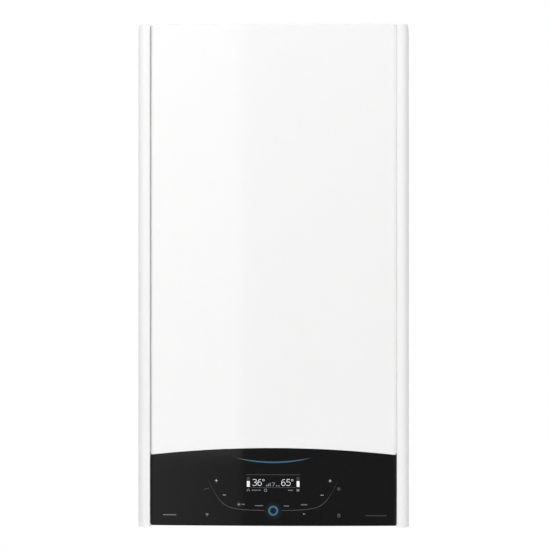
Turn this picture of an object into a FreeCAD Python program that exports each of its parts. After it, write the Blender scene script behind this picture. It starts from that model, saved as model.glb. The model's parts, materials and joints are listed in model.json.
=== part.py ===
import FreeCAD, Part
import math
import os

V = FreeCAD.Vector
X, Y, Z = V(1, 0, 0), V(0, 1, 0), V(0, 0, 1)

# Cabinet: wall plane at Y = 0, front towards -Y, screw line of the bracket at Z = 0
case_width = 400.0
case_height = 740.0
case_depth = 320.0
hang_drop = 60.0
sheet = 1.2
back_gap = 14.0
overrun = 6.0
running_gap = 0.06
fit_gap = 0.3

# Corner columns
column_width = 18.3
column_depth = 42.0
column_setback = 3.0
column_corner = 12.0
column_edge = 2.0
column_wall = 2.0
column_crown_height = 19.0
column_crown_inset = 2.0

# Front panel and the seal behind it
seam_gap = 0.5
panel_bulge = 6.0
panel_corner = 6.0
seal_thickness = 4.0
seal_width = 10.0
hook_sheet = 1.8
hook_width = 30.0
hook_margin = 58.0
hook_lap = 14.0
hook_reach = 12.0
hook_drop = 8.0
peg_radius = 3.0
peg_margin = 13.0
peg_length = 10.0
peg_lift = 130.0
clip_height = 22.0
clip_margin = 10.0

# Black control fascia
fascia_lift = 1.9
fascia_setback = 0.2
fascia_crown = 114.3
fascia_edge = 103.8
fascia_wall = 3.0
fascia_return = 18.0
fascia_corner = 3.5
fascia_seam = 0.8
display_width = 84.0
display_height = 30.0
display_lift = 64.0
display_depth = 6.0
display_skin = 1.0
key_lift = 24.2
key_radius = 7.2
key_core_radius = 4.6
key_gap = 0.25
key_sink = 0.3
key_flange = 2.0
key_flange_thickness = 1.5
key_length = 5.6
key_travel = 0.8

# Control tray, its boards and hinge
pivot_setback = 8.0
pivot_lift = 14.0
pin_radius = 3.0
pin_boss = 6.0
pin_grip = 8.0
tray_reach = 82.0
tray_margin = 14.5
tray_wall = 2.5
tray_back_share = 0.90
tray_back_top_share = 0.40
tray_slope_shares = (0.48, 0.84)
tray_top_share = 0.94
board_thickness = 1.6
board_margin = 21.0
board_height = 34.0
board_standoff = 6.0
standoff_radius = 3.5
display_board_margin = 12.0
gland_radius = 11.0
gland_bore = 4.5
gland_length = 10.0
gland_margin = 46.0

# Chassis sheets and rails
front_flange = 32.0
rear_flange = 22.0
top_recess = 14.0
back_lift = 40.0
back_bead_place = 95.0
back_bead_width = 16.0
back_bead_height = 2.0
back_bead_drop = 60.0
back_bead_lift = 130.0
port_place = 126.0
port_radius = 44.0
port_height = 3.0
port_rim = 7.0
port_rim_height = 1.5
rail_height = 36.0
rail_lift = 101.2
rail_shelf = 20.0
rail_lug = 18.0
pipe_rail_sheet = 2.0
pipe_rail_lift = 45.0
pipe_rail_depth = 95.0
pipe_rail_upstand = 26.0

# Wall bracket and hanger
bracket_margin = 50.0
bracket_sheet = 2.5
bracket_screw_margin = 25.0
bracket_hole = 4.0
bracket_drop = 22.0
bracket_ledge = 9.0
bracket_lip = 26.0
hanger_margin = 40.0
hanger_sheet = 2.0
hanger_gap = 1.5
hanger_flange = 24.0
hanger_lip_gap = 1.5
buffer_radius = 12.0
buffer_tip = 9.0
buffer_margin = 50.0
buffer_lift = 75.0

# Flue collar
flue_setback = 136.0
flue_bore = 30.0
flue_wall = 3.0
air_bore = 50.0
collar_flange = 66.0
collar_thickness = 3.0
collar_head = 8.0
collar_depth = 10.0
collar_web = 4.0
collar_web_height = 8.0
collar_screw_circle = 59.5
collar_screw = 2.1
flue_lap = 14.0
flue_rise = 22.0
cap_radius = 5.0
cap_height = 5.0

# Heat exchanger, burner and door
exchanger_drop = 202.0
drum_radius = 112.0
drum_wall = 2.0
drum_length = 142.0
drum_back = 104.0
drum_edge = 8.0
drum_flange = 12.0
drum_flange_thickness = 3.0
bead_count = 3
bead_height = 2.5
bead_width = 9.0
coil_radius = 86.0
coil_tube = 9.0
coil_pitch = 19.0
coil_turns = 5
coil_start = 22.0
coil_tail = 26.0
drain_radius = 8.0
drain_length = 16.0
drain_side = 50.0
drain_setback = 18.0
door_thickness = 8.0
door_margin = 4.0
dome_radius = 46.0
dome_depth = 26.0
dome_wall = 4.0
rib_count = 10
rib_width = 4.0
rib_height = 5.0
nut_count = 6
nut_flats = 10.0
nut_height = 6.0
nut_margin = 9.0
duct_depth = 24.0
duct_wall = 3.0
duct_drop = 18.0
burner_radius = 34.0
burner_length = 104.0
burner_wall = 1.2
burner_rim = 7.0
cradle_gap = 6.0
cradle_half_height = 60.0
cradle_tab = 15.0
cradle_foot = 20.0
cradle_window = 58.0
electrode_radius = 5.0
electrode_rod = 2.0
electrode_circle = 62.0
electrode_body = 30.0
electrode_reach = 36.0

# Fan, air intake and gas
fan_x = 58.0
fan_drop = 66.0
fan_depth = 44.0
fan_front = 34.0
fan_wall = 3.0
volute_small = 54.0
volute_large = 66.0
outlet_width = 44.0
outlet_flange = 7.0
outlet_flange_thickness = 4.0
wheel_radius = 44.0
wheel_plate = 2.0
wheel_width = 22.0
wheel_hub = 11.0
blade_count = 12
blade_wall = 1.6
blade_inner = 24.0
fan_inlet = 26.0
shaft_radius = 3.5
motor_radius = 36.0
motor_length = 20.0
motor_bearing = 12.0
mixer_radius = 36.0
mixer_throat = 18.0
mixer_length = 28.0
gas_stub = 9.0
silencer_left = 118.0
silencer_right = 92.0
silencer_half_height = 40.0
silencer_depth = 74.0
silencer_corner = 12.0
silencer_wall = 2.5
mouth_radius = 24.0
mouth_length = 14.0
valve_width = 70.0
valve_depth = 62.0
valve_height = 86.0
valve_drop = 78.0
valve_corner = 6.0
valve_coil = 16.0
valve_coil_length = 24.0
valve_coil_spacing = 36.0
valve_boss = 14.0
valve_boss_length = 12.0
gas_pipe_radius = 9.0
pipe_wall = 1.0
gas_bend = 28.0
gas_turn_height = 80.0
spark_depth = 38.8
spark_width = 50.0
spark_height = 70.0
spark_corner = 5.0
spark_setback = 185.0
spark_drop = 260.0
spark_socket = 6.0
spark_socket_length = 10.0
lead_radius = 3.0
lead_bend = 11.0
lead_out = 14.0

# Expansion vessel
vessel_half_width = 118.0
vessel_top_drop = 110.0
vessel_height = 330.0
vessel_depth = 80.0
vessel_corner = 46.0
vessel_edge = 18.0
vessel_seam = 5.0
vessel_seam_thickness = 4.0
vessel_wall = 1.5
vessel_stub = 10.0
vessel_stub_length = 12.0
vessel_pipe_radius = 6.0
vessel_pipe_bend = 18.0
vessel_port_x = 58.0

# Water groups, tails and taps
tail_setback = 70.0
tail_pitch = 67.0
tail_end_lift = 5.0
large_tail = 13.2
small_tail = 10.5
tail_bore_share = 0.72
tail_hex = 15.0
tail_hex_height = 6.0
tail_neck = 11.0
tail_neck_height = 16.0
group_tube = 19.0
group_lift = 28.0
group_inner = 48.0
group_outer = 158.0
group_stub = 15.0
group_port = 11.0
port_side = 75.0
port_rise = 16.0
flow_port_x = 86.0
flow_port_top = 52.0
pump_x = 110.0
pump_rise = 113.0
pump_radius = 48.0
pump_front = 98.0
pump_back = 52.0
pump_cavity = 38.0
pump_cavity_depth = 34.0
pump_neck = 18.0
pump_outlet_x = 84.0
pump_outlet = 13.0
pump_outlet_rise = 54.0
pump_can = 43.0
pump_can_length = 66.0
pump_fin = 2.5
pump_fin_count = 5
pump_bearing = 40.0
pump_shaft = 5.0
impeller_radius = 30.0
impeller_thickness = 14.0
impeller_plate = 3.0
impeller_blades = 6
vent_x = 130.0
vent_radius = 11.0
vent_height = 40.0
vent_neck = 6.0
vent_neck_height = 8.0
diverter_housing = 20.0
diverter_top = 60.0
diverter_bore = 12.0
diverter_stroke = 8.0
plug_radius = 11.0
plug_height = 10.0
stem_radius = 4.0
stem_rise = 16.0
actuator_width = 44.0
actuator_depth = 48.0
actuator_height = 58.0
actuator_corner = 7.0
plate_length = 192.0
plate_height = 74.0
plate_stack = 50.0
plate_gap = 50.0
plate_count = 12
plate_lip = 1.6
plate_corner = 12.0
plate_end = 3.0
relief_x = 140.0
relief_body = 10.0
relief_length = 34.0
relief_hex = 12.0
relief_outlet = 7.0
relief_outlet_setback = 20.0
relief_knob_radius = 14.0
relief_knob_length = 18.0
relief_grips = 8
relief_grip_radius = 3.0
tap_x = 100.5
tap_boss = 11.0
tap_boss_drop = 12.0
tap_stem = 4.0
tap_stem_length = 20.0
tap_knob = 14.0
tap_knob_height = 16.0
tap_wing = 5.0
tap_hub = 8.0
trap_x = 130.0
trap_setback = 172.0
trap_radius = 28.0
trap_height = 108.0
trap_lid = 30.0
trap_lid_height = 10.0
trap_spigot = 9.0
trap_spigot_height = 12.0
trap_outlet = 10.0
trap_outlet_drop = 34.0
trap_neck = 6.0
trap_lug_width = 66.0
trap_lug_front = 30.0
hose_bend = 30.0
flow_pipe_radius = 9.0
flow_bend = 35.0
return_bend = 18.0

# Places worked out from the sizes above
half_width = case_width / 2
top_z = hang_drop
bottom_z = top_z - case_height
inner_half = half_width - sheet
column_front = column_setback - case_depth
chassis_front = column_front + column_depth
flange_half = half_width - front_flange
back_front = -back_gap - sheet
top_sheet_z = top_z - top_recess
panel_half = half_width - column_width - seam_gap
peg_place = flange_half - peg_margin
tray_half = panel_half - tray_margin
board_half = tray_half - board_margin
panel_edge = panel_bulge - case_depth
panel_back = chassis_front - seal_thickness
fascia_bottom = bottom_z + fascia_lift
fascia_front = fascia_setback - case_depth
fascia_back = panel_edge + fascia_return
pivot_y = fascia_back + pivot_setback
pivot_z = bottom_z + pivot_lift
rail_z = bottom_z + rail_lift
hook_rest = top_z - sheet - hook_sheet
flue_y = -flue_setback
exchanger_z = top_z - exchanger_drop
drum_rear = -drum_back
drum_face = drum_rear - drum_length
door_face = drum_face - door_thickness
dome_face = door_face - dome_depth
duct_bottom = exchanger_z - drum_radius - duct_drop
fan_z = duct_bottom - fan_drop + outlet_flange_thickness
fan_front_y = door_face - fan_front
fan_back_y = fan_front_y + fan_depth
mixer_back = fan_back_y + mixer_length
mixer_y = (fan_back_y + mixer_back) / 2
valve_top = fan_z - valve_drop
valve_bottom = valve_top - valve_height
plate_rail_z = bottom_z + pipe_rail_lift
group_floor = plate_rail_z + pipe_rail_sheet
tail_y = -tail_setback
group_z = group_floor + group_lift
pump_z = group_floor + pump_rise
plate_back = tail_y - plate_gap - pipe_rail_sheet - group_lift
trap_y = -trap_setback
coil_rear = drum_rear - coil_start
coil_fore = coil_rear - coil_pitch * (coil_turns + 0.5)
coil_low = exchanger_z - drum_radius - coil_tail
vessel_top = top_z - vessel_top_drop
vessel_bottom = vessel_top - vessel_height
vessel_front = back_front - vessel_depth
vessel_y = (vessel_front + back_front) / 2


# Shared operations
def block(xs, ys, zs):
    low = V(min(xs), min(ys), min(zs))
    size = V(max(xs), max(ys), max(zs)) - low
    return Part.makeBox(size.x, size.y, size.z, low)


def rod(radius, start, end):
    run = end - start
    return Part.makeCylinder(radius, run.Length, start, run)


def tube(outer, bore, start, end):
    run = (end - start).normalize() * overrun
    return rod(outer, start, end).cut(rod(bore, start - run, end + run))


def face_of(points):
    return Part.Face(Part.makePolygon(points + points[:1]))


def section(points, start_x, end_x):
    return face_of([V(start_x, y, z) for y, z in points]).extrude(X * (end_x - start_x))


def turned(profile, at, axis):
    across = Z if axis == X else X
    return face_of([at + across * r + axis * t for r, t in profile]).revolve(at, axis, 360)


def hexagon(flats, start, end):
    run = end - start
    side = X if abs(run.x) < abs(run.y) + abs(run.z) else Z
    across = run.cross(side).normalize()
    side = across.cross(run).normalize()
    reach = flats / 2 / math.cos(math.pi / 6)
    corners = []
    for step in range(6):
        angle = step * math.pi / 3
        corners.append(start + side * reach * math.cos(angle) + across * reach * math.sin(angle))
    return face_of(corners).extrude(run)


def joined(pieces):
    body = pieces[0].fuse(pieces[1:]) if len(pieces) > 1 else pieces[0]
    return body.removeSplitter()


def edges_along(body, axis, wanted):
    found = []
    for edge in body.Edges:
        run = edge.Vertexes[-1].Point - edge.Vertexes[0].Point
        if run.Length > 0 and abs(run.normalize().dot(axis)) > 0.999 and wanted(edge.CenterOfMass):
            found.append(edge)
    return found


def rounded(body, axis, radius, wanted=lambda centre: True):
    return body.makeFillet(radius, edges_along(body, axis, wanted))


def mirrored(shape):
    return shape.mirror(V(0, 0, 0), X)


def both_sides(shape):
    return Part.makeCompound([shape, mirrored(shape)])


def turned_copies(shape, at, axis, count):
    copies = []
    for step in range(count):
        copy = shape.copy()
        copy.rotate(at, axis, 360.0 * step / count)
        copies.append(copy)
    return copies


def route_wire(route, bend):
    edges = []
    start = route[0]
    for before, corner, after in zip(route, route[1:], route[2:]):
        into = (corner - before).normalize()
        out = (after - corner).normalize()
        turn = into.getAngle(out)
        reach = bend * math.tan(turn / 2)
        middle = corner + (out - into).normalize() * (bend / math.cos(turn / 2) - bend)
        edges.append(Part.LineSegment(start, corner - into * reach).toShape())
        edges.append(Part.Arc(corner - into * reach, middle, corner + out * reach).toShape())
        start = corner + out * reach
    edges.append(Part.LineSegment(start, route[-1]).toShape())
    return Part.Wire(edges)


def swept(wire, radius):
    first = wire.Edges[0]
    ring = Part.Circle(first.valueAt(first.FirstParameter), first.tangentAt(first.FirstParameter), radius)
    return wire.makePipeShell([Part.Wire(ring.toShape())], True, False)


def bent_pipe(route, radius, wall, bend):
    wire = route_wire(route, bend)
    return swept(wire, radius).cut(swept(wire, radius - wall))


# Casing
def bowed_body(inset, back, low, high, corner):
    half = panel_half - inset
    edge = panel_edge + inset
    left, right = V(-half, edge, low), V(half, edge, low)
    front = Part.Arc(left, V(0, inset - case_depth, low), right).toShape()
    rest = Part.makePolygon([right, V(half, back, low), V(-half, back, low), left])
    body = Part.Face(Part.Wire([front] + rest.Edges)).extrude(Z * (high - low))
    return rounded(body, Z, corner, lambda centre: centre.y < back - fit_gap)


def under_arc(lift):
    rise = fascia_crown - fascia_edge
    radius = (panel_half ** 2 + rise ** 2) / (2 * rise)
    half = panel_half + overrun
    crown = fascia_bottom + fascia_crown + lift
    edge = crown - radius + math.sqrt(radius ** 2 - half ** 2)
    front = -case_depth - overrun
    left, right = V(-half, front, edge), V(half, front, edge)
    arc = Part.Arc(left, V(0, front, crown), right).toShape()
    low = bottom_z - overrun
    rest = Part.makePolygon([right, V(half, front, low), V(-half, front, low), left])
    return Part.Face(Part.Wire([arc] + rest.Edges)).extrude(Y * case_depth)


def front_panel():
    outer = bowed_body(0, panel_back, bottom_z, top_z, panel_corner)
    outer = outer.cut(under_arc(fascia_seam / 2))
    inner = bowed_body(sheet, panel_back + overrun, bottom_z, top_z - sheet, panel_corner - sheet)
    return outer.cut(inner.cut(under_arc(fascia_seam / 2 + sheet)))


def hanging_hook():
    place = flange_half - hook_margin
    sides = (place - hook_width / 2, place + hook_width / 2)
    back = chassis_front + hook_reach
    top = hook_rest + hook_sheet
    arm = block(sides, (panel_back - hook_lap, back), (hook_rest, top))
    tongue = block(sides, (back - hook_sheet, back), (hook_rest - hook_drop, top))
    return joined([arm, tongue])


def lower_clip():
    peg_z = bottom_z + peg_lift
    inner = peg_place - clip_margin
    lug = block((inner, panel_half - sheet), (panel_back - hook_sheet, panel_back),
                (peg_z - clip_height / 2, peg_z + clip_height / 2))
    slot = peg_radius + fit_gap
    notch = block((peg_place - slot, peg_place + slot), (panel_back - overrun, panel_back + overrun),
                  (peg_z - clip_height, peg_z))
    eye = rod(slot, V(peg_place, panel_back - overrun, peg_z), V(peg_place, panel_back + overrun, peg_z))
    return lug.cut(notch).cut(eye)


def casing_hangers():
    return Part.makeCompound([both_sides(hanging_hook()), both_sides(lower_clip())])


def column():
    inner_x = half_width - column_width
    body = block((inner_x, half_width), (column_front, chassis_front), (bottom_z, top_z))
    body = rounded(body, Z, column_corner,
                   lambda c: c.x > inner_x + fit_gap and c.y < chassis_front - fit_gap)
    body = rounded(body, Z, column_edge, lambda c: c.x < inner_x + fit_gap and c.y < chassis_front - fit_gap)
    hollow = block((inner_x + column_wall, half_width - column_wall),
                   (column_front + column_wall, chassis_front + overrun),
                   (bottom_z + column_wall, top_z - column_wall))
    hollow = rounded(hollow, Z, column_corner - column_wall,
                     lambda c: c.x > half_width - 2 * column_wall and c.y < column_front + 2 * column_wall)
    crown_z = top_z - column_crown_height
    crown = (column_crown_height ** 2 + column_crown_inset ** 2) / (2 * column_crown_inset)
    centre = V(half_width - crown, column_front - overrun, crown_z)
    shoulder = block((half_width - column_corner, half_width + overrun),
                     (column_front - overrun, chassis_front + overrun), (crown_z, top_z + overrun))
    shoulder = shoulder.cut(rod(crown, centre, centre + Y * (column_depth + 2 * overrun)))
    pin_end = V(inner_x + column_wall + pin_grip, pivot_y, pivot_z)
    boss = rod(pin_boss, V(inner_x + column_wall / 2, pivot_y, pivot_z), pin_end)
    bore = rod(pin_radius, V(inner_x - overrun, pivot_y, pivot_z), pin_end)
    return joined([body.cut(hollow).cut(shoulder), boss]).cut(bore)


def hinge_pins():
    inner_x = half_width - column_width
    start = V(tray_half - tray_wall - pin_boss / 2, pivot_y, pivot_z)
    return both_sides(rod(pin_radius, start, V(inner_x + column_wall + pin_grip, pivot_y, pivot_z)))


def side_panel():
    front_x = (flange_half, half_width)
    heights = (bottom_z, top_z)
    web = block((inner_half, half_width), (chassis_front, sheet - back_gap), heights)
    front = block(front_x, (chassis_front, chassis_front + sheet), heights)
    rear = block((half_width - rear_flange, half_width), (-back_gap, sheet - back_gap), heights)
    return joined([web, front, rear])


def front_seal():
    low = rail_z + hook_sheet
    outer = block((-panel_half, panel_half), (panel_back, chassis_front), (low, hook_rest))
    inner_x = panel_half - seal_width
    lower = bottom_z + fascia_lift + fascia_crown + 2 * hook_sheet
    inner = block((-inner_x, inner_x), (panel_back - overrun, chassis_front + overrun),
                  (lower, hook_rest - seal_width))
    return outer.cut(inner)


def top_panel():
    low = top_sheet_z - sheet
    roof = block((-inner_half, inner_half), (chassis_front + sheet, -back_gap), (low, top_sheet_z))
    upstand = block((-flange_half, flange_half), (chassis_front, chassis_front + sheet), (low, hook_rest))
    hole = rod(air_bore + flue_wall + fit_gap, V(0, flue_y, low - overrun), V(0, flue_y, top_z))
    port = turned([(0, top_sheet_z - sheet / 2), (port_radius, top_sheet_z - sheet / 2),
                   (port_radius, top_sheet_z + port_rim_height),
                   (port_radius - port_rim, top_sheet_z + port_rim_height),
                   (port_radius - port_rim, top_sheet_z + port_height), (0, top_sheet_z + port_height)],
                  V(-port_place, flue_y, 0), Z)
    return joined([roof, upstand, port]).cut(hole).cut(collar_screws(collar_screw))


def back_plate():
    xs = (-inner_half, inner_half)
    plate = block(xs, (back_front, -back_gap), (bottom_z + back_lift, top_sheet_z - sheet))
    beads = both_sides(pressed_bead(0, -back_gap - sheet / 2))
    grooves = both_sides(pressed_bead(sheet, back_front - overrun))
    return joined([plate] + beads.Solids).cut(grooves)


def pressed_bead(inset, start):
    half = back_bead_width / 2 - inset
    low = bottom_z + back_lift + back_bead_lift
    high = -back_bead_drop
    stop = back_bead_height - back_gap - inset
    bar = block((back_bead_place - half, back_bead_place + half), (start, stop), (low, high))
    ends = [rod(half, V(back_bead_place, start, z), V(back_bead_place, stop, z)) for z in (low, high)]
    return joined([bar] + ends)


def mid_rail():
    face = block((-flange_half, flange_half), (chassis_front, chassis_front + sheet),
                 (rail_z, rail_z + rail_height))
    shelf = block((-flange_half, flange_half), (chassis_front, chassis_front + rail_shelf),
                  (rail_z + rail_height - sheet, rail_z + rail_height))
    lugs = block((-flange_half - rail_lug, flange_half + rail_lug),
                 (chassis_front + sheet, chassis_front + 2 * sheet), (rail_z, rail_z + rail_height))
    peg_z = bottom_z + peg_lift
    start = V(peg_place, chassis_front + sheet, peg_z)
    peg = rod(peg_radius, start, V(peg_place, chassis_front - peg_length, peg_z))
    return joined([face, shelf, lugs, peg, mirrored(peg)])


def pipe_rail():
    top = plate_rail_z + pipe_rail_sheet
    heights = (plate_rail_z, top)
    front = back_front - pipe_rail_depth
    plate = block((-inner_half, inner_half), (front, back_front), heights)
    upstand = block((-inner_half, inner_half), (back_front - pipe_rail_sheet, back_front),
                    (plate_rail_z, top + pipe_rail_upstand))
    lug = block((-trap_x - trap_lug_width / 2, -trap_x + trap_lug_width / 2),
                (trap_y - trap_lug_front, front), heights)
    rail = joined([plate, upstand, lug])
    holes = [(x, tail_y, tail_neck) for x in tail_places()]
    holes += [(side * tap_x, tail_y, tap_boss) for side in (-1, 1)]
    holes.append((-trap_x, trap_y, trap_outlet))
    for x, y, radius in holes:
        start = V(x, y, plate_rail_z - overrun)
        rail = rail.cut(rod(radius + fit_gap, start, V(x, y, top + overrun)))
    return rail


# Wall fixing
def wall_bracket():
    lip_front = hanger_gap + hanger_sheet - back_gap
    lip_back = lip_front + bracket_sheet
    ledge_top = bracket_ledge + bracket_sheet
    outline = [(0, -bracket_drop), (0, ledge_top), (lip_back, ledge_top), (lip_back, bracket_lip),
               (lip_front, bracket_lip), (lip_front, bracket_ledge), (-bracket_sheet, bracket_ledge),
               (-bracket_sheet, -bracket_drop)]
    half = half_width - bracket_margin
    bar = section(outline, -half, half)
    for side in (-1, 1):
        x = side * (half - bracket_screw_margin)
        bar = bar.cut(rod(bracket_hole, V(x, -bracket_sheet - overrun, 0), V(x, overrun, 0)))
    return bar


def hanger_rail():
    channel_front = hanger_gap + hanger_sheet - back_gap + bracket_sheet
    middle = (channel_front - bracket_sheet) / 2
    lip_front, lip_back = middle - hanger_sheet / 2, middle + hanger_sheet / 2
    rest = bracket_lip
    lip_low = bracket_ledge + bracket_sheet + hanger_lip_gap
    flange_front = hanger_sheet - back_gap
    outline = [(-back_gap, rest - hanger_flange), (-back_gap, rest + hanger_sheet),
               (lip_back, rest + hanger_sheet), (lip_back, lip_low), (lip_front, lip_low),
               (lip_front, rest), (flange_front, rest), (flange_front, rest - hanger_flange)]
    half = half_width - hanger_margin
    return section(outline, -half, half)


def wall_buffers():
    z = bottom_z + buffer_lift
    place = V(half_width - buffer_margin, -back_gap, z)
    return both_sides(Part.makeCone(buffer_radius, buffer_tip, back_gap, place, Y))


# Flue collar
def collar_screws(radius):
    holes = []
    for step in range(4):
        angle = math.pi / 4 + step * math.pi / 2
        x = collar_screw_circle * math.cos(angle)
        y = flue_y + collar_screw_circle * math.sin(angle)
        holes.append(rod(radius, V(x, y, top_sheet_z - overrun), V(x, y, top_z)))
    return Part.makeCompound(holes)


def flue_tube():
    spigot = exchanger_z + drum_radius + flue_rise
    top = top_sheet_z + collar_head
    return tube(flue_bore + flue_wall, flue_bore, V(0, flue_y, spigot), V(0, flue_y, top))


def flue_collar():
    at = V(0, flue_y, 0)
    top = top_sheet_z + collar_head
    low = top_sheet_z - collar_depth
    outer = turned([(air_bore, low), (air_bore + flue_wall, low), (air_bore + flue_wall, top_sheet_z),
                    (collar_flange, top_sheet_z), (collar_flange, top_sheet_z + collar_thickness),
                    (air_bore + flue_wall, top_sheet_z + collar_thickness), (air_bore + flue_wall, top),
                    (air_bore, top)], at, Z)
    web = block((flue_bore + flue_wall + fit_gap, air_bore + flue_wall / 2),
                (flue_y - collar_web / 2, flue_y + collar_web / 2), (low, low + collar_web_height))
    webs = turned_copies(web, at, Z, 4)
    return joined([outer] + webs).cut(collar_screws(collar_screw))


def test_point_caps():
    base = top_sheet_z + collar_thickness
    profile = [(0, base), (cap_radius, base), (cap_radius, base + cap_height / 2),
               (cap_radius * 0.7, base + cap_height), (0, base + cap_height)]
    return both_sides(turned(profile, V(collar_screw_circle, flue_y, 0), Z))


# Heat exchanger
def exchanger_shell():
    at = V(0, 0, exchanger_z)
    inner = drum_radius - drum_wall
    outline = [(0, drum_rear), (drum_radius - drum_edge, drum_rear), (drum_radius, drum_rear - drum_edge)]
    step = (drum_length - drum_edge - drum_flange_thickness) / bead_count
    for bead in range(bead_count):
        middle = drum_rear - drum_edge - step * (2 * bead + 1) / 2
        outline += [(drum_radius, middle + bead_width), (drum_radius + bead_height, middle + bead_width / 2),
                    (drum_radius + bead_height, middle - bead_width / 2), (drum_radius, middle - bead_width)]
    rim = drum_radius + drum_flange
    outline += [(drum_radius, drum_face + drum_flange_thickness), (rim, drum_face + drum_flange_thickness),
                (rim, drum_face), (inner, drum_face), (inner, drum_rear - drum_edge),
                (inner - drum_edge, drum_rear - drum_wall), (0, drum_rear - drum_wall)]
    drum = turned(outline, at, Y)
    room = rod(inner - fit_gap, V(0, drum_rear - drum_edge, exchanger_z),
               V(0, drum_face - overrun, exchanger_z))
    stub_bore = flue_bore + flue_wall + fit_gap
    stub_top = exchanger_z + drum_radius + flue_rise + flue_lap
    stub = rod(stub_bore + drum_wall, V(0, flue_y, exchanger_z), V(0, flue_y, stub_top))
    drain_y = drum_face + drain_setback
    drain_low = exchanger_z - drum_radius - drain_length
    drain = rod(drain_radius, V(-drain_side, drain_y, exchanger_z), V(-drain_side, drain_y, drain_low))
    extras = [stub, drain]
    bores = [rod(stub_bore, V(0, flue_y, exchanger_z), V(0, flue_y, stub_top + overrun)),
             rod(drain_radius - drum_wall, V(-drain_side, drain_y, exchanger_z),
                 V(-drain_side, drain_y, drain_low - overrun))]
    for x, y in ((coil_radius, coil_rear), (-coil_radius, coil_fore)):
        top = V(x, y, exchanger_z)
        bores.append(rod(coil_tube + fit_gap, top, V(x, y, coil_low - overrun)))
    shell = joined([drum] + [piece.cut(room) for piece in extras])
    return shell.cut(Part.makeCompound(bores))


def coil_point(turn):
    angle = 2 * math.pi * turn
    y = coil_rear - coil_pitch * turn
    return V(coil_radius * math.cos(angle), y, exchanger_z + coil_radius * math.sin(angle))


def coil_tangent(turn):
    angle = 2 * math.pi * turn
    circle = 2 * math.pi * coil_radius
    return V(-circle * math.sin(angle), -coil_pitch, circle * math.cos(angle)).normalize()


def arc_from(start, tangent, end):
    chord = end - start
    along = tangent.getAngle(chord)
    across = (chord - tangent * chord.dot(tangent)).normalize()
    radius = chord.Length / (2 * math.sin(along))
    middle = start + tangent * radius * math.sin(along) + across * radius * (1 - math.cos(along))
    return Part.Arc(start, middle, end).toShape()


def biarc(start, first, end, last):
    chord = end - start
    both = first + last
    a = 2 * (1 - first.dot(last))
    b = 2 * chord.dot(both)
    reach = (-b + math.sqrt(b * b + 4 * a * chord.dot(chord))) / (2 * a)
    one, two = start + first * reach, end - last * reach
    join = (one + two) * 0.5
    heading = (two - one).normalize()
    return [arc_from(start, first, join), arc_from(join, heading, end)]


def exchanger_coil():
    quarters = 4 * coil_turns + 2
    edges = []
    for step in range(quarters):
        one, two = step / 4, (step + 1) / 4
        edges += biarc(coil_point(one), coil_tangent(one), coil_point(two), coil_tangent(two))
    begin, finish = coil_point(0), coil_point(quarters / 4)
    body = swept(Part.Wire(edges), coil_tube)
    tails = [rod(coil_tube, begin, V(begin.x, begin.y, coil_low)),
             rod(coil_tube, finish, V(finish.x, finish.y, coil_low))]
    return joined([body] + tails)


def coil_gap():
    steps = 12
    rows = [coil_point(step / steps) for step in range(steps * coil_turns + steps // 2 + 1)]
    gap = coil_radius
    for first, point in enumerate(rows):
        for other in rows[first + steps // 2:]:
            gap = min(gap, point.distanceToPoint(other) - 2 * coil_tube)
    return gap


def exchanger_brackets():
    inner = drum_radius + drum_flange + cradle_gap
    outer = inner + pipe_rail_sheet
    heights = (exchanger_z - cradle_half_height, exchanger_z + cradle_half_height)
    seat = drum_face + drum_flange_thickness
    arm = block((inner, outer), (seat, back_front), heights)
    middle = (seat + back_front) / 2
    window = block((inner - overrun, outer + overrun),
                   (middle - cradle_window / 2, middle + cradle_window / 2),
                   (exchanger_z - cradle_window / 2, exchanger_z + cradle_window / 2))
    window = rounded(window, X, cradle_tab)
    tab = block((inner - cradle_tab, outer), (seat, seat + pipe_rail_sheet),
                (exchanger_z - cradle_tab, exchanger_z + cradle_tab))
    foot = block((inner, outer + cradle_foot), (back_front - pipe_rail_sheet, back_front), heights)
    return both_sides(joined([arm.cut(window), tab, foot]))


# Burner door and what sits on it
def duct_sides():
    left = fan_x - volute_large
    return left, left + outlet_width


def burner_door():
    at = V(0, 0, exchanger_z)
    radius = drum_radius + drum_flange - door_margin
    cavity = dome_radius - dome_wall
    plate = turned([(cavity, drum_face), (radius, drum_face), (radius, door_face), (dome_radius, door_face),
                    (dome_radius, dome_face + dome_wall), (dome_radius - dome_wall, dome_face),
                    (0, dome_face), (0, dome_face + dome_wall), (cavity - dome_wall, dome_face + dome_wall),
                    (cavity, dome_face + 2 * dome_wall)], at, Y)
    rib = block((dome_radius - dome_wall / 2, radius - 2 * nut_margin), (door_face - rib_height, door_face),
                (exchanger_z - rib_width / 2, exchanger_z + rib_width / 2))
    left, right = duct_sides()
    front = door_face - duct_depth
    duct = block((left, right), (front, door_face), (duct_bottom, exchanger_z))
    duct = rounded(duct, Z, duct_wall, lambda c: c.y < door_face - fit_gap)
    flange = block((left - outlet_flange, right + outlet_flange), (front - outlet_flange, door_face),
                   (duct_bottom, duct_bottom + outlet_flange_thickness))
    room = rod(cavity, V(0, drum_face + overrun, exchanger_z), V(0, dome_face + 2 * dome_wall, exchanger_z))
    passage = block((left + duct_wall, right - duct_wall), (front + duct_wall, door_face - duct_wall),
                    (duct_bottom - overrun, exchanger_z))
    body = joined([plate, duct, flange] + turned_copies(rib, at, Y, rib_count))
    body = body.cut(room).cut(passage)
    for side in (-1, 1):
        body = body.cut(electrode_line(side, electrode_rod + fit_gap, electrode_reach))
    return body


def electrode_line(side, radius, reach):
    place = electrode_circle * math.sqrt(0.5)
    start = V(side * place, door_face, exchanger_z + place)
    return rod(radius, start, start + Y * reach)


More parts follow.
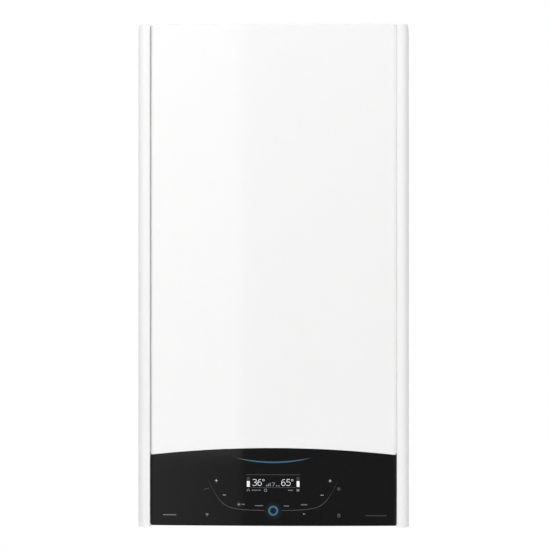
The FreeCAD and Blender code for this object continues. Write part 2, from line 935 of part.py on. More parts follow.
def door_nuts():
    at = V(0, 0, exchanger_z)
    place = V(drum_radius + drum_flange - door_margin - nut_margin, door_face, exchanger_z)
    nut = hexagon(nut_flats, place, place - Y * nut_height)
    return Part.makeCompound(turned_copies(nut, at, Y, nut_count))


def burner_tube():
    at = V(0, 0, exchanger_z)
    far = drum_face + burner_length
    rim = dome_radius + burner_rim
    inner = burner_radius - burner_wall
    return turned([(inner, drum_face), (rim, drum_face), (rim, drum_face + burner_wall),
                   (burner_radius, drum_face + burner_wall), (burner_radius, far), (0, far),
                   (0, far - burner_wall), (inner, far - burner_wall)], at, Y)


def electrodes():
    pieces = []
    for side in (-1, 1):
        wire = electrode_line(side, electrode_rod, electrode_reach)
        body = electrode_line(side, electrode_radius, -electrode_body)
        pieces.append(joined([wire, body]))
    return Part.makeCompound(pieces)


# Fan and air intake
def volute_face():
    turn = volute_large - volute_small

    def spiral(quarter):
        radius = volute_large - turn * quarter / 3
        angle = math.pi + quarter * math.pi / 2
        return V(fan_x + radius * math.cos(angle), fan_front_y, fan_z + radius * math.sin(angle))

    left, right = duct_sides()
    points = [V(left, fan_front_y, duct_bottom), spiral(0)]
    edges = [Part.LineSegment(*points).toShape()]
    for quarter in range(3):
        edges.append(Part.Arc(spiral(quarter), spiral(quarter + 0.5), spiral(quarter + 1)).toShape())
    lip = V(right, fan_front_y, fan_z + volute_small)
    corner = V(right, fan_front_y, duct_bottom)
    edges += Part.makePolygon([spiral(3), lip, corner, points[0]]).Edges
    return Part.Face(Part.Wire(edges))


def fan_housing():
    outer = volute_face()
    inner = outer.makeOffset2D(-fan_wall)
    inner.translate(Y * fan_wall)
    body = outer.extrude(Y * fan_depth)
    left, right = duct_sides()
    front = door_face - duct_depth
    flange = block((left - outlet_flange, right + outlet_flange), (front - outlet_flange, door_face),
                   (duct_bottom - outlet_flange_thickness, duct_bottom))
    room = inner.extrude(Y * (fan_depth - 2 * fan_wall))
    passage = block((left + duct_wall, right - duct_wall), (front + duct_wall, door_face - duct_wall),
                    (duct_bottom - outlet_flange_thickness - overrun, duct_bottom + overrun))
    inlet = rod(fan_inlet, V(fan_x, fan_back_y - 2 * fan_wall, fan_z), V(fan_x, fan_back_y + overrun, fan_z))
    shaft = rod(wheel_hub + fit_gap, V(fan_x, fan_front_y - overrun, fan_z),
                V(fan_x, fan_front_y + 2 * fan_wall, fan_z))
    return joined([body, flange]).cut(room).cut(passage).cut(inlet).cut(shaft)


def blade(at, start, length, inner, tip):
    middle = (inner + tip) / 2
    lean = (tip - inner) / 2
    outer = Part.Arc(at + X * inner, at + X * middle + Z * lean / 2, at + X * tip + Z * lean * 1.6)
    inside = Part.Arc(at + X * inner + Z * blade_wall, at + X * middle + Z * (lean / 2 + blade_wall),
                      at + X * tip + Z * (lean * 1.6 + blade_wall))
    ends = [Part.LineSegment(outer.EndPoint, inside.EndPoint).toShape(),
            Part.LineSegment(inside.StartPoint, outer.StartPoint).toShape()]
    wire = Part.Wire(Part.__sortEdges__([outer.toShape(), inside.toShape()] + ends))
    strip = Part.Face(wire).extrude(Y * length)
    strip.translate(Y * start)
    keep = rod(tip, at + Y * start, at + Y * (start + length))
    return strip.common(keep)


def fan_wheel():
    at = V(fan_x, 0, fan_z)
    disc = fan_front_y + 2 * fan_wall
    profile = [(0, disc + wheel_width), (wheel_hub / 2, disc + wheel_width),
               (wheel_hub, disc + wheel_plate * 2), (wheel_hub, disc + wheel_plate),
               (wheel_radius, disc + wheel_plate), (wheel_radius, disc),
               (wheel_hub, disc), (wheel_hub, fan_front_y), (shaft_radius, fan_front_y),
               (shaft_radius, fan_front_y - motor_bearing), (0, fan_front_y - motor_bearing)]
    vane = blade(at, disc + wheel_plate, wheel_width - wheel_plate, blade_inner, wheel_radius)
    vanes = turned_copies(vane, at, Y, blade_count)
    return joined([turned(profile, at, Y)] + vanes)


def fan_motor():
    front = fan_front_y - motor_length
    edge = motor_length / 5
    can = turned([(0, front), (motor_radius - edge, front), (motor_radius, front + edge),
                  (motor_radius, fan_front_y - edge), (motor_radius + edge, fan_front_y - edge / 2),
                  (motor_radius + edge, fan_front_y), (0, fan_front_y)], V(fan_x, 0, fan_z), Y)
    plug = block((fan_x - edge * 2, fan_x + edge * 2), (front + edge, fan_front_y - edge),
                 (fan_z - motor_radius - edge, fan_z))
    start = V(fan_x, fan_front_y + overrun, fan_z)
    bore = rod(shaft_radius + running_gap, start, V(fan_x, fan_front_y - motor_bearing - fit_gap, fan_z))
    return joined([can, plug]).cut(bore)


def air_mixer():
    at = V(fan_x, 0, fan_z)
    bell = turned([(fan_inlet, fan_back_y), (mixer_radius, fan_back_y),
                   (mixer_radius, fan_back_y + fan_wall),
                   (fan_inlet + fan_wall, fan_back_y + 2 * fan_wall), (fan_inlet + fan_wall, mixer_back),
                   (fan_inlet, mixer_back), (mixer_throat, mixer_y)], at, Y)
    stub = rod(gas_stub, V(fan_x, mixer_y, fan_z), V(fan_x, mixer_y, valve_top))
    port = rod(gas_stub - 2 * pipe_wall, V(fan_x, mixer_y, fan_z), V(fan_x, mixer_y, valve_top - overrun))
    core = rod(mixer_throat, V(fan_x, fan_back_y - overrun, fan_z), V(fan_x, mixer_back + overrun, fan_z))
    cone = rod(fan_inlet, V(fan_x, fan_back_y, fan_z), V(fan_x, mixer_back, fan_z))
    return joined([bell, stub.cut(cone)]).cut(port.cut(core)).cut(core)


def air_silencer():
    left, right = -silencer_left, silencer_right
    heights = (fan_z - silencer_half_height, fan_z + silencer_half_height)
    depths = (mixer_back, mixer_back + silencer_depth)
    body = rounded(block((left, right), depths, heights), Y, silencer_corner)
    wall = silencer_wall
    room = block((left + wall, right - wall), (depths[0] + wall, depths[1] - wall),
                 (heights[0] + wall, heights[1] - wall))
    room = rounded(room, Y, silencer_corner - wall)
    middle = (depths[0] + depths[1]) / 2
    mouth = rod(mouth_radius, V(left - mouth_length, middle, fan_z), V(left + wall / 2, middle, fan_z))
    throat = rod(mouth_radius - wall, V(left - mouth_length - overrun, middle, fan_z),
                 V(left + 2 * wall, middle, fan_z))
    port = rod(fan_inlet, V(fan_x, mixer_back - overrun, fan_z), V(fan_x, mixer_back + 2 * wall, fan_z))
    return joined([body, mouth]).cut(room).cut(throat).cut(port)


# Gas line
def gas_valve():
    sides = (fan_x - valve_width / 2, fan_x + valve_width / 2)
    depths = (mixer_y - valve_depth / 2, mixer_y + valve_depth / 2)
    body = rounded(block(sides, depths, (valve_bottom, valve_top)), Z, valve_corner)
    middle = (valve_top + valve_bottom) / 2
    pieces = [body]
    for side in (-1, 1):
        z = middle + side * valve_coil_spacing / 2
        pieces.append(rod(valve_coil, V(fan_x, depths[0] - valve_coil_length, z), V(fan_x, depths[0], z)))
    low = V(fan_x, mixer_y, valve_bottom - valve_boss_length)
    pieces.append(rod(valve_boss, low, V(fan_x, mixer_y, valve_bottom)))
    return joined(pieces)


def gas_pipe():
    start = V(0, tail_y, group_floor + tail_neck_height)
    turn = group_floor + gas_turn_height
    finish = V(fan_x, mixer_y, valve_bottom - valve_boss_length)
    route = [start, V(0, tail_y, turn), V(fan_x, mixer_y, turn), finish]
    return bent_pipe(route, gas_pipe_radius, pipe_wall, gas_bend)


# Ignition
def ignition_transformer():
    depths = (-spark_setback - spark_width, -spark_setback)
    high = top_z - spark_drop
    box = block((inner_half - spark_depth, inner_half), depths, (high - spark_height, high))
    box = rounded(box, X, spark_corner)
    socket_end = spark_outlet() - Z * (spark_socket_length + spark_corner)
    return joined([box, rod(spark_socket, spark_outlet(), socket_end)])


def spark_outlet():
    return V(inner_half - spark_depth / 2, -spark_setback - spark_width / 2,
             top_z - spark_drop + spark_socket_length)


def ignition_lead():
    place = electrode_circle * math.sqrt(0.5)
    plug = V(place, door_face - electrode_body, exchanger_z + place)
    end = spark_outlet()
    front = plug.y - lead_out
    route = [plug, V(plug.x, front, plug.z), V(drum_radius, front, exchanger_z + lead_out),
             V(end.x, end.y, end.z + spark_height / 2), end]
    return swept(route_wire(route, lead_bend), lead_radius)


# Expansion vessel
def vessel_block(inset, grow):
    sides = (-vessel_half_width - grow + inset, vessel_half_width + grow - inset)
    heights = (vessel_bottom - grow + inset, vessel_top + grow - inset)
    depths = (vessel_front + inset, back_front - inset)
    if grow:
        depths = (vessel_y - vessel_seam_thickness / 2, vessel_y + vessel_seam_thickness / 2)
    return rounded(block(sides, depths, heights), Y, vessel_corner + grow - inset)


def vessel_shell(inset):
    body = vessel_block(inset, 0)
    reach = vessel_depth / 2 - inset - fit_gap
    ends = [edge for edge in body.Edges if abs(edge.CenterOfMass.y - vessel_y) > reach]
    return body.makeFillet(vessel_edge - inset, ends)


def expansion_vessel():
    stub = rod(vessel_stub, V(0, vessel_y, vessel_bottom - vessel_stub_length),
               V(0, vessel_y, vessel_bottom + vessel_wall))
    body = joined([vessel_shell(0), vessel_block(0, vessel_seam), stub])
    return body.cut(vessel_shell(vessel_wall))


def vessel_pipe():
    start = V(0, vessel_y, vessel_bottom - vessel_stub_length)
    end = V(-vessel_port_x, tail_y, group_z + group_tube)
    drop = start.z - end.z
    route = [start, V(0, vessel_y, start.z - drop / 4), V(end.x, tail_y, end.z + drop / 3), end]
    return bent_pipe(route, vessel_pipe_radius, pipe_wall, vessel_pipe_bend)


# Water side
def tail_places():
    return [step * tail_pitch for step in range(-2, 3)]


def pipe_tails():
    low = bottom_z + tail_end_lift
    tails = []
    for x, radius in zip(tail_places(), (large_tail, small_tail, large_tail, small_tail, large_tail)):
        hex_low = plate_rail_z - tail_hex_height
        thread = rod(radius, V(x, tail_y, low), V(x, tail_y, hex_low))
        nut = hexagon(2 * tail_hex, V(x, tail_y, hex_low), V(x, tail_y, plate_rail_z))
        neck = rod(tail_neck, V(x, tail_y, plate_rail_z), V(x, tail_y, group_floor + tail_neck_height))
        bore = rod(small_tail * tail_bore_share, V(x, tail_y, low - overrun),
                   V(x, tail_y, group_floor + tail_neck_height + overrun))
        tails.append(joined([thread, nut, neck]).cut(bore))
    return Part.makeCompound(tails)


def manifold(side):
    pieces = [rod(group_tube, V(side * group_inner, tail_y, group_z),
                  V(side * group_outer, tail_y, group_z))]
    for x in (tail_pitch, 2 * tail_pitch):
        pieces.append(rod(group_stub, V(side * x, tail_y, group_floor), V(side * x, tail_y, group_z)))
    for rise in (-port_rise, port_rise):
        start = V(side * port_side, tail_y, group_z + rise / 2)
        middle = V(side * port_side, plate_back, group_z + rise / 2)
        pieces.append(rod(group_port - abs(rise) / 4, start, middle))
    x = side * tap_x
    pieces.append(rod(tap_boss, V(x, tail_y, plate_rail_z - tap_boss_drop), V(x, tail_y, group_z)))
    return pieces


def manifold_bores(side):
    bores = []
    for x in (tail_pitch, 2 * tail_pitch):
        bores.append(rod(tail_neck + fit_gap, V(side * x, tail_y, group_floor - overrun),
                         V(side * x, tail_y, group_floor + tail_neck_height)))
    x = side * tap_x
    bores.append(rod(tap_stem + running_gap, V(x, tail_y, plate_rail_z - tap_boss_drop - overrun),
                     V(x, tail_y, plate_rail_z - tap_boss_drop + tap_stem_length + fit_gap)))
    return Part.makeCompound(bores)


def return_group():
    pieces = manifold(1)
    pieces.append(rod(pump_radius, V(pump_x, -pump_front, pump_z), V(pump_x, -pump_back, pump_z)))
    pieces.append(rod(pump_neck, V(pump_x, tail_y, group_z), V(pump_x, tail_y, pump_z)))
    outlet_top = pump_z + pump_outlet_rise
    pieces.append(rod(pump_outlet, V(pump_outlet_x, tail_y, pump_z), V(pump_outlet_x, tail_y, outlet_top)))
    pieces.append(rod(vent_neck * 2, V(vent_x, tail_y, pump_z), V(vent_x, tail_y, outlet_top)))
    pieces.append(rod(relief_body, V(relief_x, tail_y, group_z), relief_start()))
    cavity = rod(pump_cavity, V(pump_x, -pump_front - overrun, pump_z),
                 V(pump_x, pump_cavity_depth - pump_front, pump_z))
    return joined(pieces).cut(cavity).cut(manifold_bores(1))


def pump_motor():
    face = -pump_front
    front = face - pump_can_length
    step = pump_can_length / (pump_fin_count + 2)
    outline = [(0, face), (pump_radius, face), (pump_radius, face - step / 2), (pump_can, face - step / 2)]
    for fin in range(pump_fin_count):
        start = face - step * (fin + 1)
        outline += [(pump_can, start), (pump_can + pump_fin, start), (pump_can + pump_fin, start - step / 3),
                    (pump_can, start - step / 3)]
    outline += [(pump_can, front + step / 2), (pump_can - step / 2, front), (0, front)]
    can = turned(outline, V(pump_x, 0, pump_z), Y)
    bore = rod(pump_shaft + running_gap, V(pump_x, face + overrun, pump_z),
               V(pump_x, face - pump_bearing - fit_gap, pump_z))
    return can.cut(bore)


def pump_rotor():
    face = -pump_front
    at = V(pump_x, 0, pump_z)
    start = face + impeller_plate
    profile = [(0, face - pump_bearing), (pump_shaft, face - pump_bearing), (pump_shaft, start),
               (impeller_radius, start), (impeller_radius, start + impeller_plate),
               (pump_shaft * 2, start + impeller_plate), (pump_shaft, start + impeller_thickness),
               (0, start + impeller_thickness)]
    length = impeller_thickness - impeller_plate
    vane = blade(at, start + impeller_plate, length, impeller_radius / 2, impeller_radius)
    vanes = turned_copies(vane, at, Y, impeller_blades)
    return joined([turned(profile, at, Y)] + vanes)


def air_vent():
    base = pump_z + pump_outlet_rise
    high = base + vent_height
    cap = vent_height / 6
    return turned([(0, base), (vent_neck * 1.5, base), (vent_neck * 1.5, base + vent_neck_height),
                   (vent_radius, base + vent_neck_height), (vent_radius, high - cap),
                   (vent_radius * 0.5, high - cap),
                   (vent_radius * 0.5, high), (0, high)], V(vent_x, tail_y, 0), Z)


def flow_group():
    pieces = manifold(-1)
    diverter_x = -2 * tail_pitch
    top = group_z + diverter_top
    pieces.append(rod(diverter_housing, V(diverter_x, tail_y, group_z), V(diverter_x, tail_y, top)))
    port_top = V(-flow_port_x, tail_y, group_z + flow_port_top)
    pieces.append(rod(pump_outlet, V(-flow_port_x, tail_y, group_z), port_top))
    chamber = rod(diverter_bore, V(diverter_x, tail_y, group_z + group_lift / 2),
                  V(diverter_x, tail_y, top + overrun))
    return joined(pieces).cut(chamber).cut(manifold_bores(-1))


def diverter_spindle():
    low = group_z + group_lift / 2 + fit_gap
    top = group_z + diverter_top + stem_rise
    plug_top = low + plug_height
    return turned([(0, low), (plug_radius, low), (plug_radius, plug_top), (stem_radius, plug_top),
                   (stem_radius, top), (0, top)], V(-2 * tail_pitch, tail_y, 0), Z)


def diverter_motor():
    x = -2 * tail_pitch
    base = group_z + diverter_top
    body = block((x - actuator_width / 2, x + actuator_width / 2),
                 (tail_y - actuator_depth / 2, tail_y + actuator_depth / 2), (base, base + actuator_height))
    body = rounded(body, Z, actuator_corner)
    bore = rod(stem_radius + running_gap, V(x, tail_y, base - overrun),
               V(x, tail_y, base + stem_rise + diverter_stroke + fit_gap))
    return body.cut(bore)


def plate_exchanger():
    half = plate_length / 2
    low, high = group_z - plate_height / 2, group_z + plate_height / 2
    front = plate_back - plate_stack
    core = block((plate_lip - half, half - plate_lip), (front, plate_back),
                 (low + plate_lip, high - plate_lip))
    pieces = [rounded(core, Y, plate_corner - plate_lip)]
    step = (plate_stack - plate_end) / (plate_count - 1)
    for plate in range(plate_count):
        y = front + plate * step
        thickness = plate_end if plate in (0, plate_count - 1) else step / 2
        pieces.append(rounded(block((-half, half), (y, y + thickness), (low, high)), Y, plate_corner))
    return joined(pieces)


def relief_start():
    return V(relief_x, tail_y - group_tube - relief_body, group_z)


def relief_valve():
    start = relief_start()
    face = start - Y * relief_length
    nut = hexagon(2 * relief_hex, start, start - Y * relief_body)
    body = rod(relief_body, start, face)
    out = start - Y * relief_outlet_setback
    spout = rod(relief_outlet, out, V(out.x, out.y, bottom_z + tail_end_lift))
    bore = rod(relief_outlet - 2 * pipe_wall, out, V(out.x, out.y, bottom_z - overrun))
    pin = rod(tap_stem + running_gap, face - Y * overrun, face + Y * (relief_length / 4 + fit_gap))
    return joined([body, nut, spout]).cut(bore).cut(pin)


def relief_knob():
    face = relief_start() - Y * (relief_length + fit_gap)
    end = face - Y * relief_knob_length
    knob = rod(relief_knob_radius, face, end)
    flute_x = face.x + relief_knob_radius + relief_grip_radius / 3
    flute = rod(relief_grip_radius, V(flute_x, face.y - overrun / 2, face.z),
                V(flute_x, end.y - overrun, face.z))
    flutes = turned_copies(flute, V(face.x, 0, face.z), Y, relief_grips)
    stem = rod(tap_stem, face, face + Y * relief_length / 4)
    return joined([knob.cut(Part.makeCompound(flutes)), stem])


def service_tap(side):
    x = side * tap_x
    face = plate_rail_z - tap_boss_drop - fit_gap
    low = face - tap_knob_height
    stem = rod(tap_stem, V(x, tail_y, face), V(x, tail_y, face + tap_stem_length))
    hub = rod(tap_hub, V(x, tail_y, low), V(x, tail_y, face))
    wing = block((x - tap_knob, x + tap_knob), (tail_y - tap_wing / 2, tail_y + tap_wing / 2),
                 (low, face - tap_wing))
    wing = rounded(wing, Y, tap_wing, lambda c: c.z < low + fit_gap)
    return joined([stem, hub, wing])


# Condensate
def condensate_trap():
    top = group_floor + trap_height
    lid_low = top - trap_lid_height
    out_low = group_floor - trap_outlet_drop
    profile = [(0, group_floor), (trap_radius * 0.8, group_floor),
               (trap_radius, group_floor + trap_radius * 0.3),
               (trap_radius, lid_low), (trap_lid, lid_low), (trap_lid, top), (trap_spigot, top),
               (trap_spigot, top + trap_spigot_height), (0, top + trap_spigot_height)]
    at = V(-trap_x, trap_y, 0)
    bottle = turned(profile, at, Z)
    shoulder = group_floor - trap_neck
    outlet = rod(trap_outlet, V(-trap_x, trap_y, out_low), V(-trap_x, trap_y, shoulder))
    neck = rod(trap_outlet - fit_gap, V(-trap_x, trap_y, shoulder), V(-trap_x, trap_y, group_floor))
    bore = rod(trap_outlet - trap_wall(), V(-trap_x, trap_y, out_low - overrun),
               V(-trap_x, trap_y, group_floor))
    return joined([bottle, outlet, neck]).cut(bore)


def trap_wall():
    return 2 * pipe_wall


def condensate_hose():
    start = V(-drain_side, drum_face + drain_setback, exchanger_z - drum_radius - drain_length)
    end = V(-trap_x, trap_y, group_floor + trap_height + trap_spigot_height)
    route = [start, V(start.x, start.y, end.z + trap_height / 2), V(end.x, end.y, end.z + trap_lid), end]
    return bent_pipe(route, drain_radius, trap_wall(), hose_bend / 2)


# Circuit pipes
def flow_pipe():
    end = V(-flow_port_x, tail_y, group_z + flow_port_top)
    route = [V(-coil_radius, coil_fore, coil_low), V(-coil_radius, coil_fore, end.z + 3 * flow_port_top),
             V(end.x, tail_y, end.z + flow_port_top), end]
    return bent_pipe(route, flow_pipe_radius, pipe_wall, flow_bend)


def return_pipe():
    start = V(pump_outlet_x, tail_y, pump_z + pump_outlet_rise)
    end = V(coil_radius, coil_rear, coil_low)
    rise = vessel_bottom - start.z
    route = [start, V(start.x, start.y, start.z + rise / 3), V(end.x, end.y, start.z + rise * 0.8), end]
    return bent_pipe(route, flow_pipe_radius, pipe_wall, return_bend)


# Control box
def key_place():
    return V(0, fascia_front + key_sink, bottom_z + key_lift)


def control_fascia():
    outer = bowed_body(fascia_setback, fascia_back, fascia_bottom, top_z, fascia_corner)
    outer = outer.common(under_arc(-fascia_seam / 2))
    wall = fascia_wall
    inner = bowed_body(fascia_setback + wall, fascia_back + overrun, fascia_bottom + wall, top_z, wall / 2)
    shell = outer.cut(inner.common(under_arc(-fascia_seam / 2 - wall)))
    place = key_place()
    hole = rod(key_radius + key_gap, place - Y * overrun, place + Y * overrun)
    middle = bottom_z + display_lift
    pocket = block((-display_width / 2, display_width / 2),
                   (fascia_front + display_skin + fit_gap, fascia_back),
                   (middle - display_height / 2, middle + display_height / 2))
    return shell.cut(hole).cut(pocket)


def tray_outline(reach, low, front):
    back = pivot_y + reach * tray_back_share
    slope_y, slope_z = tray_slope_shares
    return [(front, low), (back, low), (back, pivot_z + reach * tray_back_top_share),
            (pivot_y + reach * slope_y, pivot_z + reach * slope_z),
            (front, pivot_z + reach * tray_top_share)]


def control_tray():
    body = section(tray_outline(tray_reach, fascia_bottom, fascia_back), -tray_half, tray_half)
    inner_reach = tray_reach - 2 * tray_wall
    inner_half = tray_half - tray_wall
    inside = tray_outline(inner_reach, fascia_bottom + tray_wall, fascia_back - overrun)
    room = section(inside, -inner_half, inner_half)
    flange = block((-panel_half, panel_half), (fascia_back, fascia_back + tray_wall),
                   (fascia_bottom, pivot_z + tray_reach * tray_top_share))
    pieces = [body, flange]
    for side in (-1, 1):
        start = V(side * (inner_half - pin_boss), pivot_y, pivot_z)
        pieces.append(rod(pin_boss, start, V(side * tray_half, pivot_y, pivot_z)))
    bosses = []
    for x in (pin_boss - board_half, board_half - pin_boss):
        for z in board_rows():
            foot = board_back() + board_standoff + tray_wall
            bosses.append(rod(standoff_radius, V(x, board_back(), z), V(x, foot, z)))
    body = joined(pieces).cut(room)
    for side in (-1, 1):
        start = V(side * (inner_half - pin_boss), pivot_y, pivot_z)
        ear = rod(pin_boss, start, V(side * tray_half, pivot_y, pivot_z))
        body = joined([body, ear])
        end = V(side * half_width, pivot_y, pivot_z)
        body = body.cut(rod(pin_radius + running_gap, start - X * side * overrun, end))
    gland = rod(gland_bore + tray_wall, V(gland_x(), gland_y(), fascia_bottom - overrun),
                V(gland_x(), gland_y(), pivot_z))
    return joined([body] + bosses).cut(gland)


def gland_x():
    return tray_half - gland_margin


def gland_y():
    return pivot_y + tray_reach / 2


def cable_gland():
    at = V(gland_x(), gland_y(), 0)
    stem = gland_bore + tray_wall - fit_gap
    high = fascia_bottom + tray_wall
    low = fascia_bottom - fascia_lift + running_gap
    neck = gland_radius - tray_wall
    cap = high + gland_length / 2
    return turned([(gland_bore, low), (neck, low), (neck, fascia_bottom), (stem, fascia_bottom),
                   (stem, high), (gland_radius, high), (gland_radius, cap), (gland_bore, cap)], at, Z)


def board_back():
    return pivot_y + (tray_reach - 2 * tray_wall) * tray_back_share - board_standoff


def board_rows():
    low = fascia_bottom + tray_wall + standoff_radius
    return low + standoff_radius, low + board_height - 3 * standoff_radius


def main_board():
    low = fascia_bottom + tray_wall + standoff_radius / 2
    face = board_back() - board_thickness
    pieces = [block((-board_half, board_half), (face, board_back()), (low, low + board_height))]
    tall = tray_reach / 4
    row_share = 0.1
    parts_shares = ((-0.42, 0.16, 0.80, 1.0), (-0.22, 0.10, 0.60, 0.7), (-0.10, 0.10, 0.60, 0.7),
                    (0.02, 0.10, 0.60, 0.7), (0.16, 0.12, 0.40, 0.4), (0.36, 0.22, 0.35, 0.5))
    for centre, width, height, depth in parts_shares:
        x = 2 * centre * board_half
        pieces.append(block((x - width * board_half, x + width * board_half), (face - depth * tall, face),
                            (low + board_height * row_share, low + board_height * (row_share + height))))
    for centre in (0.20, 0.26):
        z = low + board_height * 0.72
        x = 2 * centre * board_half
        pieces.append(rod(board_height / 6, V(x, face, z), V(x, face - tall, z)))
    return joined(pieces)


def display_unit():
    middle = bottom_z + display_lift
    half_height = display_height / 2 - fit_gap
    front = fascia_front + display_skin + fit_gap
    return block((fit_gap - display_width / 2, display_width / 2 - fit_gap), (front, front + display_depth),
                 (middle - half_height, middle + half_height))


def display_board():
    middle = bottom_z + display_lift
    back = fascia_front + display_skin + fit_gap + display_depth
    low = bottom_z + key_lift - key_radius - key_flange
    half = display_width / 2 + display_board_margin
    board = block((-half, half), (back, back + board_thickness), (low, middle + display_height / 2))
    place = key_place()
    switch_face = place.y + key_length + key_travel + fit_gap
    switch = block((-key_core_radius, key_core_radius), (switch_face, back),
                   (place.z - key_core_radius, place.z + key_core_radius))
    return joined([board, switch])


def circuit_boards():
    return Part.makeCompound([main_board(), display_board()])


def key_ring():
    place = key_place()
    inner_face = fascia_front + fascia_wall + fit_gap
    flange_back = inner_face + key_flange_thickness
    bore = key_core_radius + running_gap
    rim = key_radius + key_flange
    return turned([(bore, place.y), (key_radius, place.y), (key_radius, inner_face), (rim, inner_face),
                   (rim, flange_back), (bore, flange_back)], V(0, 0, place.z), Y)


def key_core():
    place = key_place()
    flange_back = fascia_front + fascia_wall + fit_gap + key_flange_thickness
    return turned([(0, place.y), (key_core_radius, place.y), (key_core_radius, flange_back),
                   (key_radius, flange_back), (key_radius, place.y + key_length), (0, place.y + key_length)],
                  V(0, 0, place.z), Y)


nodes = {
    "wall_bracket": wall_bracket(),
    "hanger_rail": hanger_rail(),
    "wall_buffers": wall_buffers(),
    "back_plate": back_plate(),
    "right_side_panel": side_panel(),
    "left_side_panel": mirrored(side_panel()),
    "right_column": column(),
    "left_column": mirrored(column()),
    "top_panel": top_panel(),
    "mid_rail": mid_rail(),
    "pipe_rail": pipe_rail(),
    "front_seal": front_seal(),
    "front_panel": front_panel(),
    "casing_hangers": casing_hangers(),
    "flue_tube": flue_tube(),
    "flue_collar": flue_collar(),
    "test_point_caps": test_point_caps(),
    "exchanger_shell": exchanger_shell(),
    "exchanger_coil": exchanger_coil(),
    "exchanger_brackets": exchanger_brackets(),
    "burner_door": burner_door(),
    "door_nuts": door_nuts(),
    "burner_tube": burner_tube(),
    "electrodes": electrodes(),
    "ignition_transformer": ignition_transformer(),
    "ignition_lead": ignition_lead(),
    "fan_housing": fan_housing(),
    "fan_wheel": fan_wheel(),
    "fan_motor": fan_motor(),
    "air_mixer": air_mixer(),
    "air_silencer": air_silencer(),
    "gas_valve": gas_valve(),
    "gas_pipe": gas_pipe(),
    "expansion_vessel": expansion_vessel(),
    "vessel_pipe": vessel_pipe(),
    "pipe_tails": pipe_tails(),
    "return_group": return_group(),
    "pump_motor": pump_motor(),
    "pump_rotor": pump_rotor(),
    "air_vent": air_vent(),
    "flow_group": flow_group(),
    "diverter_spindle": diverter_spindle(),
    "diverter_motor": diverter_motor(),
    "plate_exchanger": plate_exchanger(),
    "relief_valve": relief_valve(),
    "relief_knob": relief_knob(),
    "filling_tap": service_tap(1),
    "drain_tap": service_tap(-1),
    "condensate_trap": condensate_trap(),
    "condensate_hose": condensate_hose(),
    "flow_pipe": flow_pipe(),
    "return_pipe": return_pipe(),
    "hinge_pins": hinge_pins(),
    "control_fascia": control_fascia(),
    "control_tray": control_tray(),
    "cable_gland": cable_gland(),
    "circuit_boards": circuit_boards(),
    "display_unit": display_unit(),
    "key_ring": key_ring(),
    "key_core": key_core(),
}

os.makedirs("parts", exist_ok=True)
for name, shape in nodes.items():
    if shape.Volume < 0:
        shape.reverse()
    shape.exportStep("parts/" + name + ".step")
    print(name, "valid" if shape.isValid() else "BROKEN", len(shape.Solids), round(shape.Volume / 1000, 1))
print("coil gap", round(coil_gap(), 2))
print(len(nodes), "nodes")
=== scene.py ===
import bpy
import bmesh
import json
import math
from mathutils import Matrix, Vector


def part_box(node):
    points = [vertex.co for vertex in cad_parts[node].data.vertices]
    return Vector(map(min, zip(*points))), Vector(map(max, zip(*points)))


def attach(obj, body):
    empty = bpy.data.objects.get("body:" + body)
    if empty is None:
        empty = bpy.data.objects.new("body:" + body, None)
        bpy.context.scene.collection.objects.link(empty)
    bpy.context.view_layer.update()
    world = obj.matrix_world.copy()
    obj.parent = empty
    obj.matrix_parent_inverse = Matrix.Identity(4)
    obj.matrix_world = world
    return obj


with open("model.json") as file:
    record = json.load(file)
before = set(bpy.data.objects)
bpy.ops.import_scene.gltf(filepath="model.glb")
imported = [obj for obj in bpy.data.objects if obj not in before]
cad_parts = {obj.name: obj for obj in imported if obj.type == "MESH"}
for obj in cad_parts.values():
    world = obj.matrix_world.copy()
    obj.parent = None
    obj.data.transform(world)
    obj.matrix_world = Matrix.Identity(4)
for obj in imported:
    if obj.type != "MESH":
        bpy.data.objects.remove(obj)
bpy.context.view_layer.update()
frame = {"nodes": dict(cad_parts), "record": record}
nodes = frame["nodes"]
mm = 0.001
print("frame loaded:", len(nodes), "nodes")

scene = bpy.context.scene
scene.view_settings.view_transform = "Standard"
white = (1, 1, 1, 1)
midGrey = (0.5, 0.5, 0.5, 1)


# short ways to add nodes and to join them
def plugAll(tree, node, inputs):
    for name, value in inputs.items():
        socket = node.inputs[name]
        if isinstance(value, bpy.types.NodeSocket):
            tree.links.new(value, socket)
        else:
            socket.default_value = value
    return node


def addNode(tree, kind, inputs, operation=None, dataType=None):
    node = tree.nodes.new(kind)
    if operation:
        node.operation = operation
    if dataType:
        node.data_type = dataType
    return plugAll(tree, node, inputs)


def addMath(tree, operation, first, second=0.0):
    return addNode(tree, "ShaderNodeMath", {0: first, 1: second}, operation).outputs[0]


def addRange(tree, value, span, levels=(0.0, 1.0)):
    inputs = {"Value": value, "From Min": span[0], "From Max": span[1]}
    inputs.update({"To Min": levels[0], "To Max": levels[1]})
    return addNode(tree, "ShaderNodeMapRange", inputs).outputs[0]


def axisOf(tree, space, axis):
    place = tree.nodes.new("ShaderNodeTexCoord")
    return addNode(tree, "ShaderNodeSeparateXYZ", {"Vector": place.outputs[space]}).outputs[axis]


mixSockets = {"RGBA": (6, 7, 2), "FLOAT": (2, 3, 0)}  # first, second and result on Blender's mix node


def mixIn(tree, kind, mask, before, after):
    first, second, result = mixSockets[kind]
    node = addNode(tree, "ShaderNodeMix", {0: mask, first: before, second: after}, dataType=kind)
    return node.outputs[result]


def mixShaders(tree, share, first, second):
    return addNode(tree, "ShaderNodeMixShader", {0: share, 1: first, 2: second}).outputs[0]


def seenDirectly(tree):
    path = tree.nodes.new("ShaderNodeLightPath")
    return addMath(tree, "MAXIMUM", path.outputs["Is Camera Ray"], path.outputs["Is Transmission Ray"])


def shaderOf(material):
    return material.node_tree.nodes["Principled BSDF"]


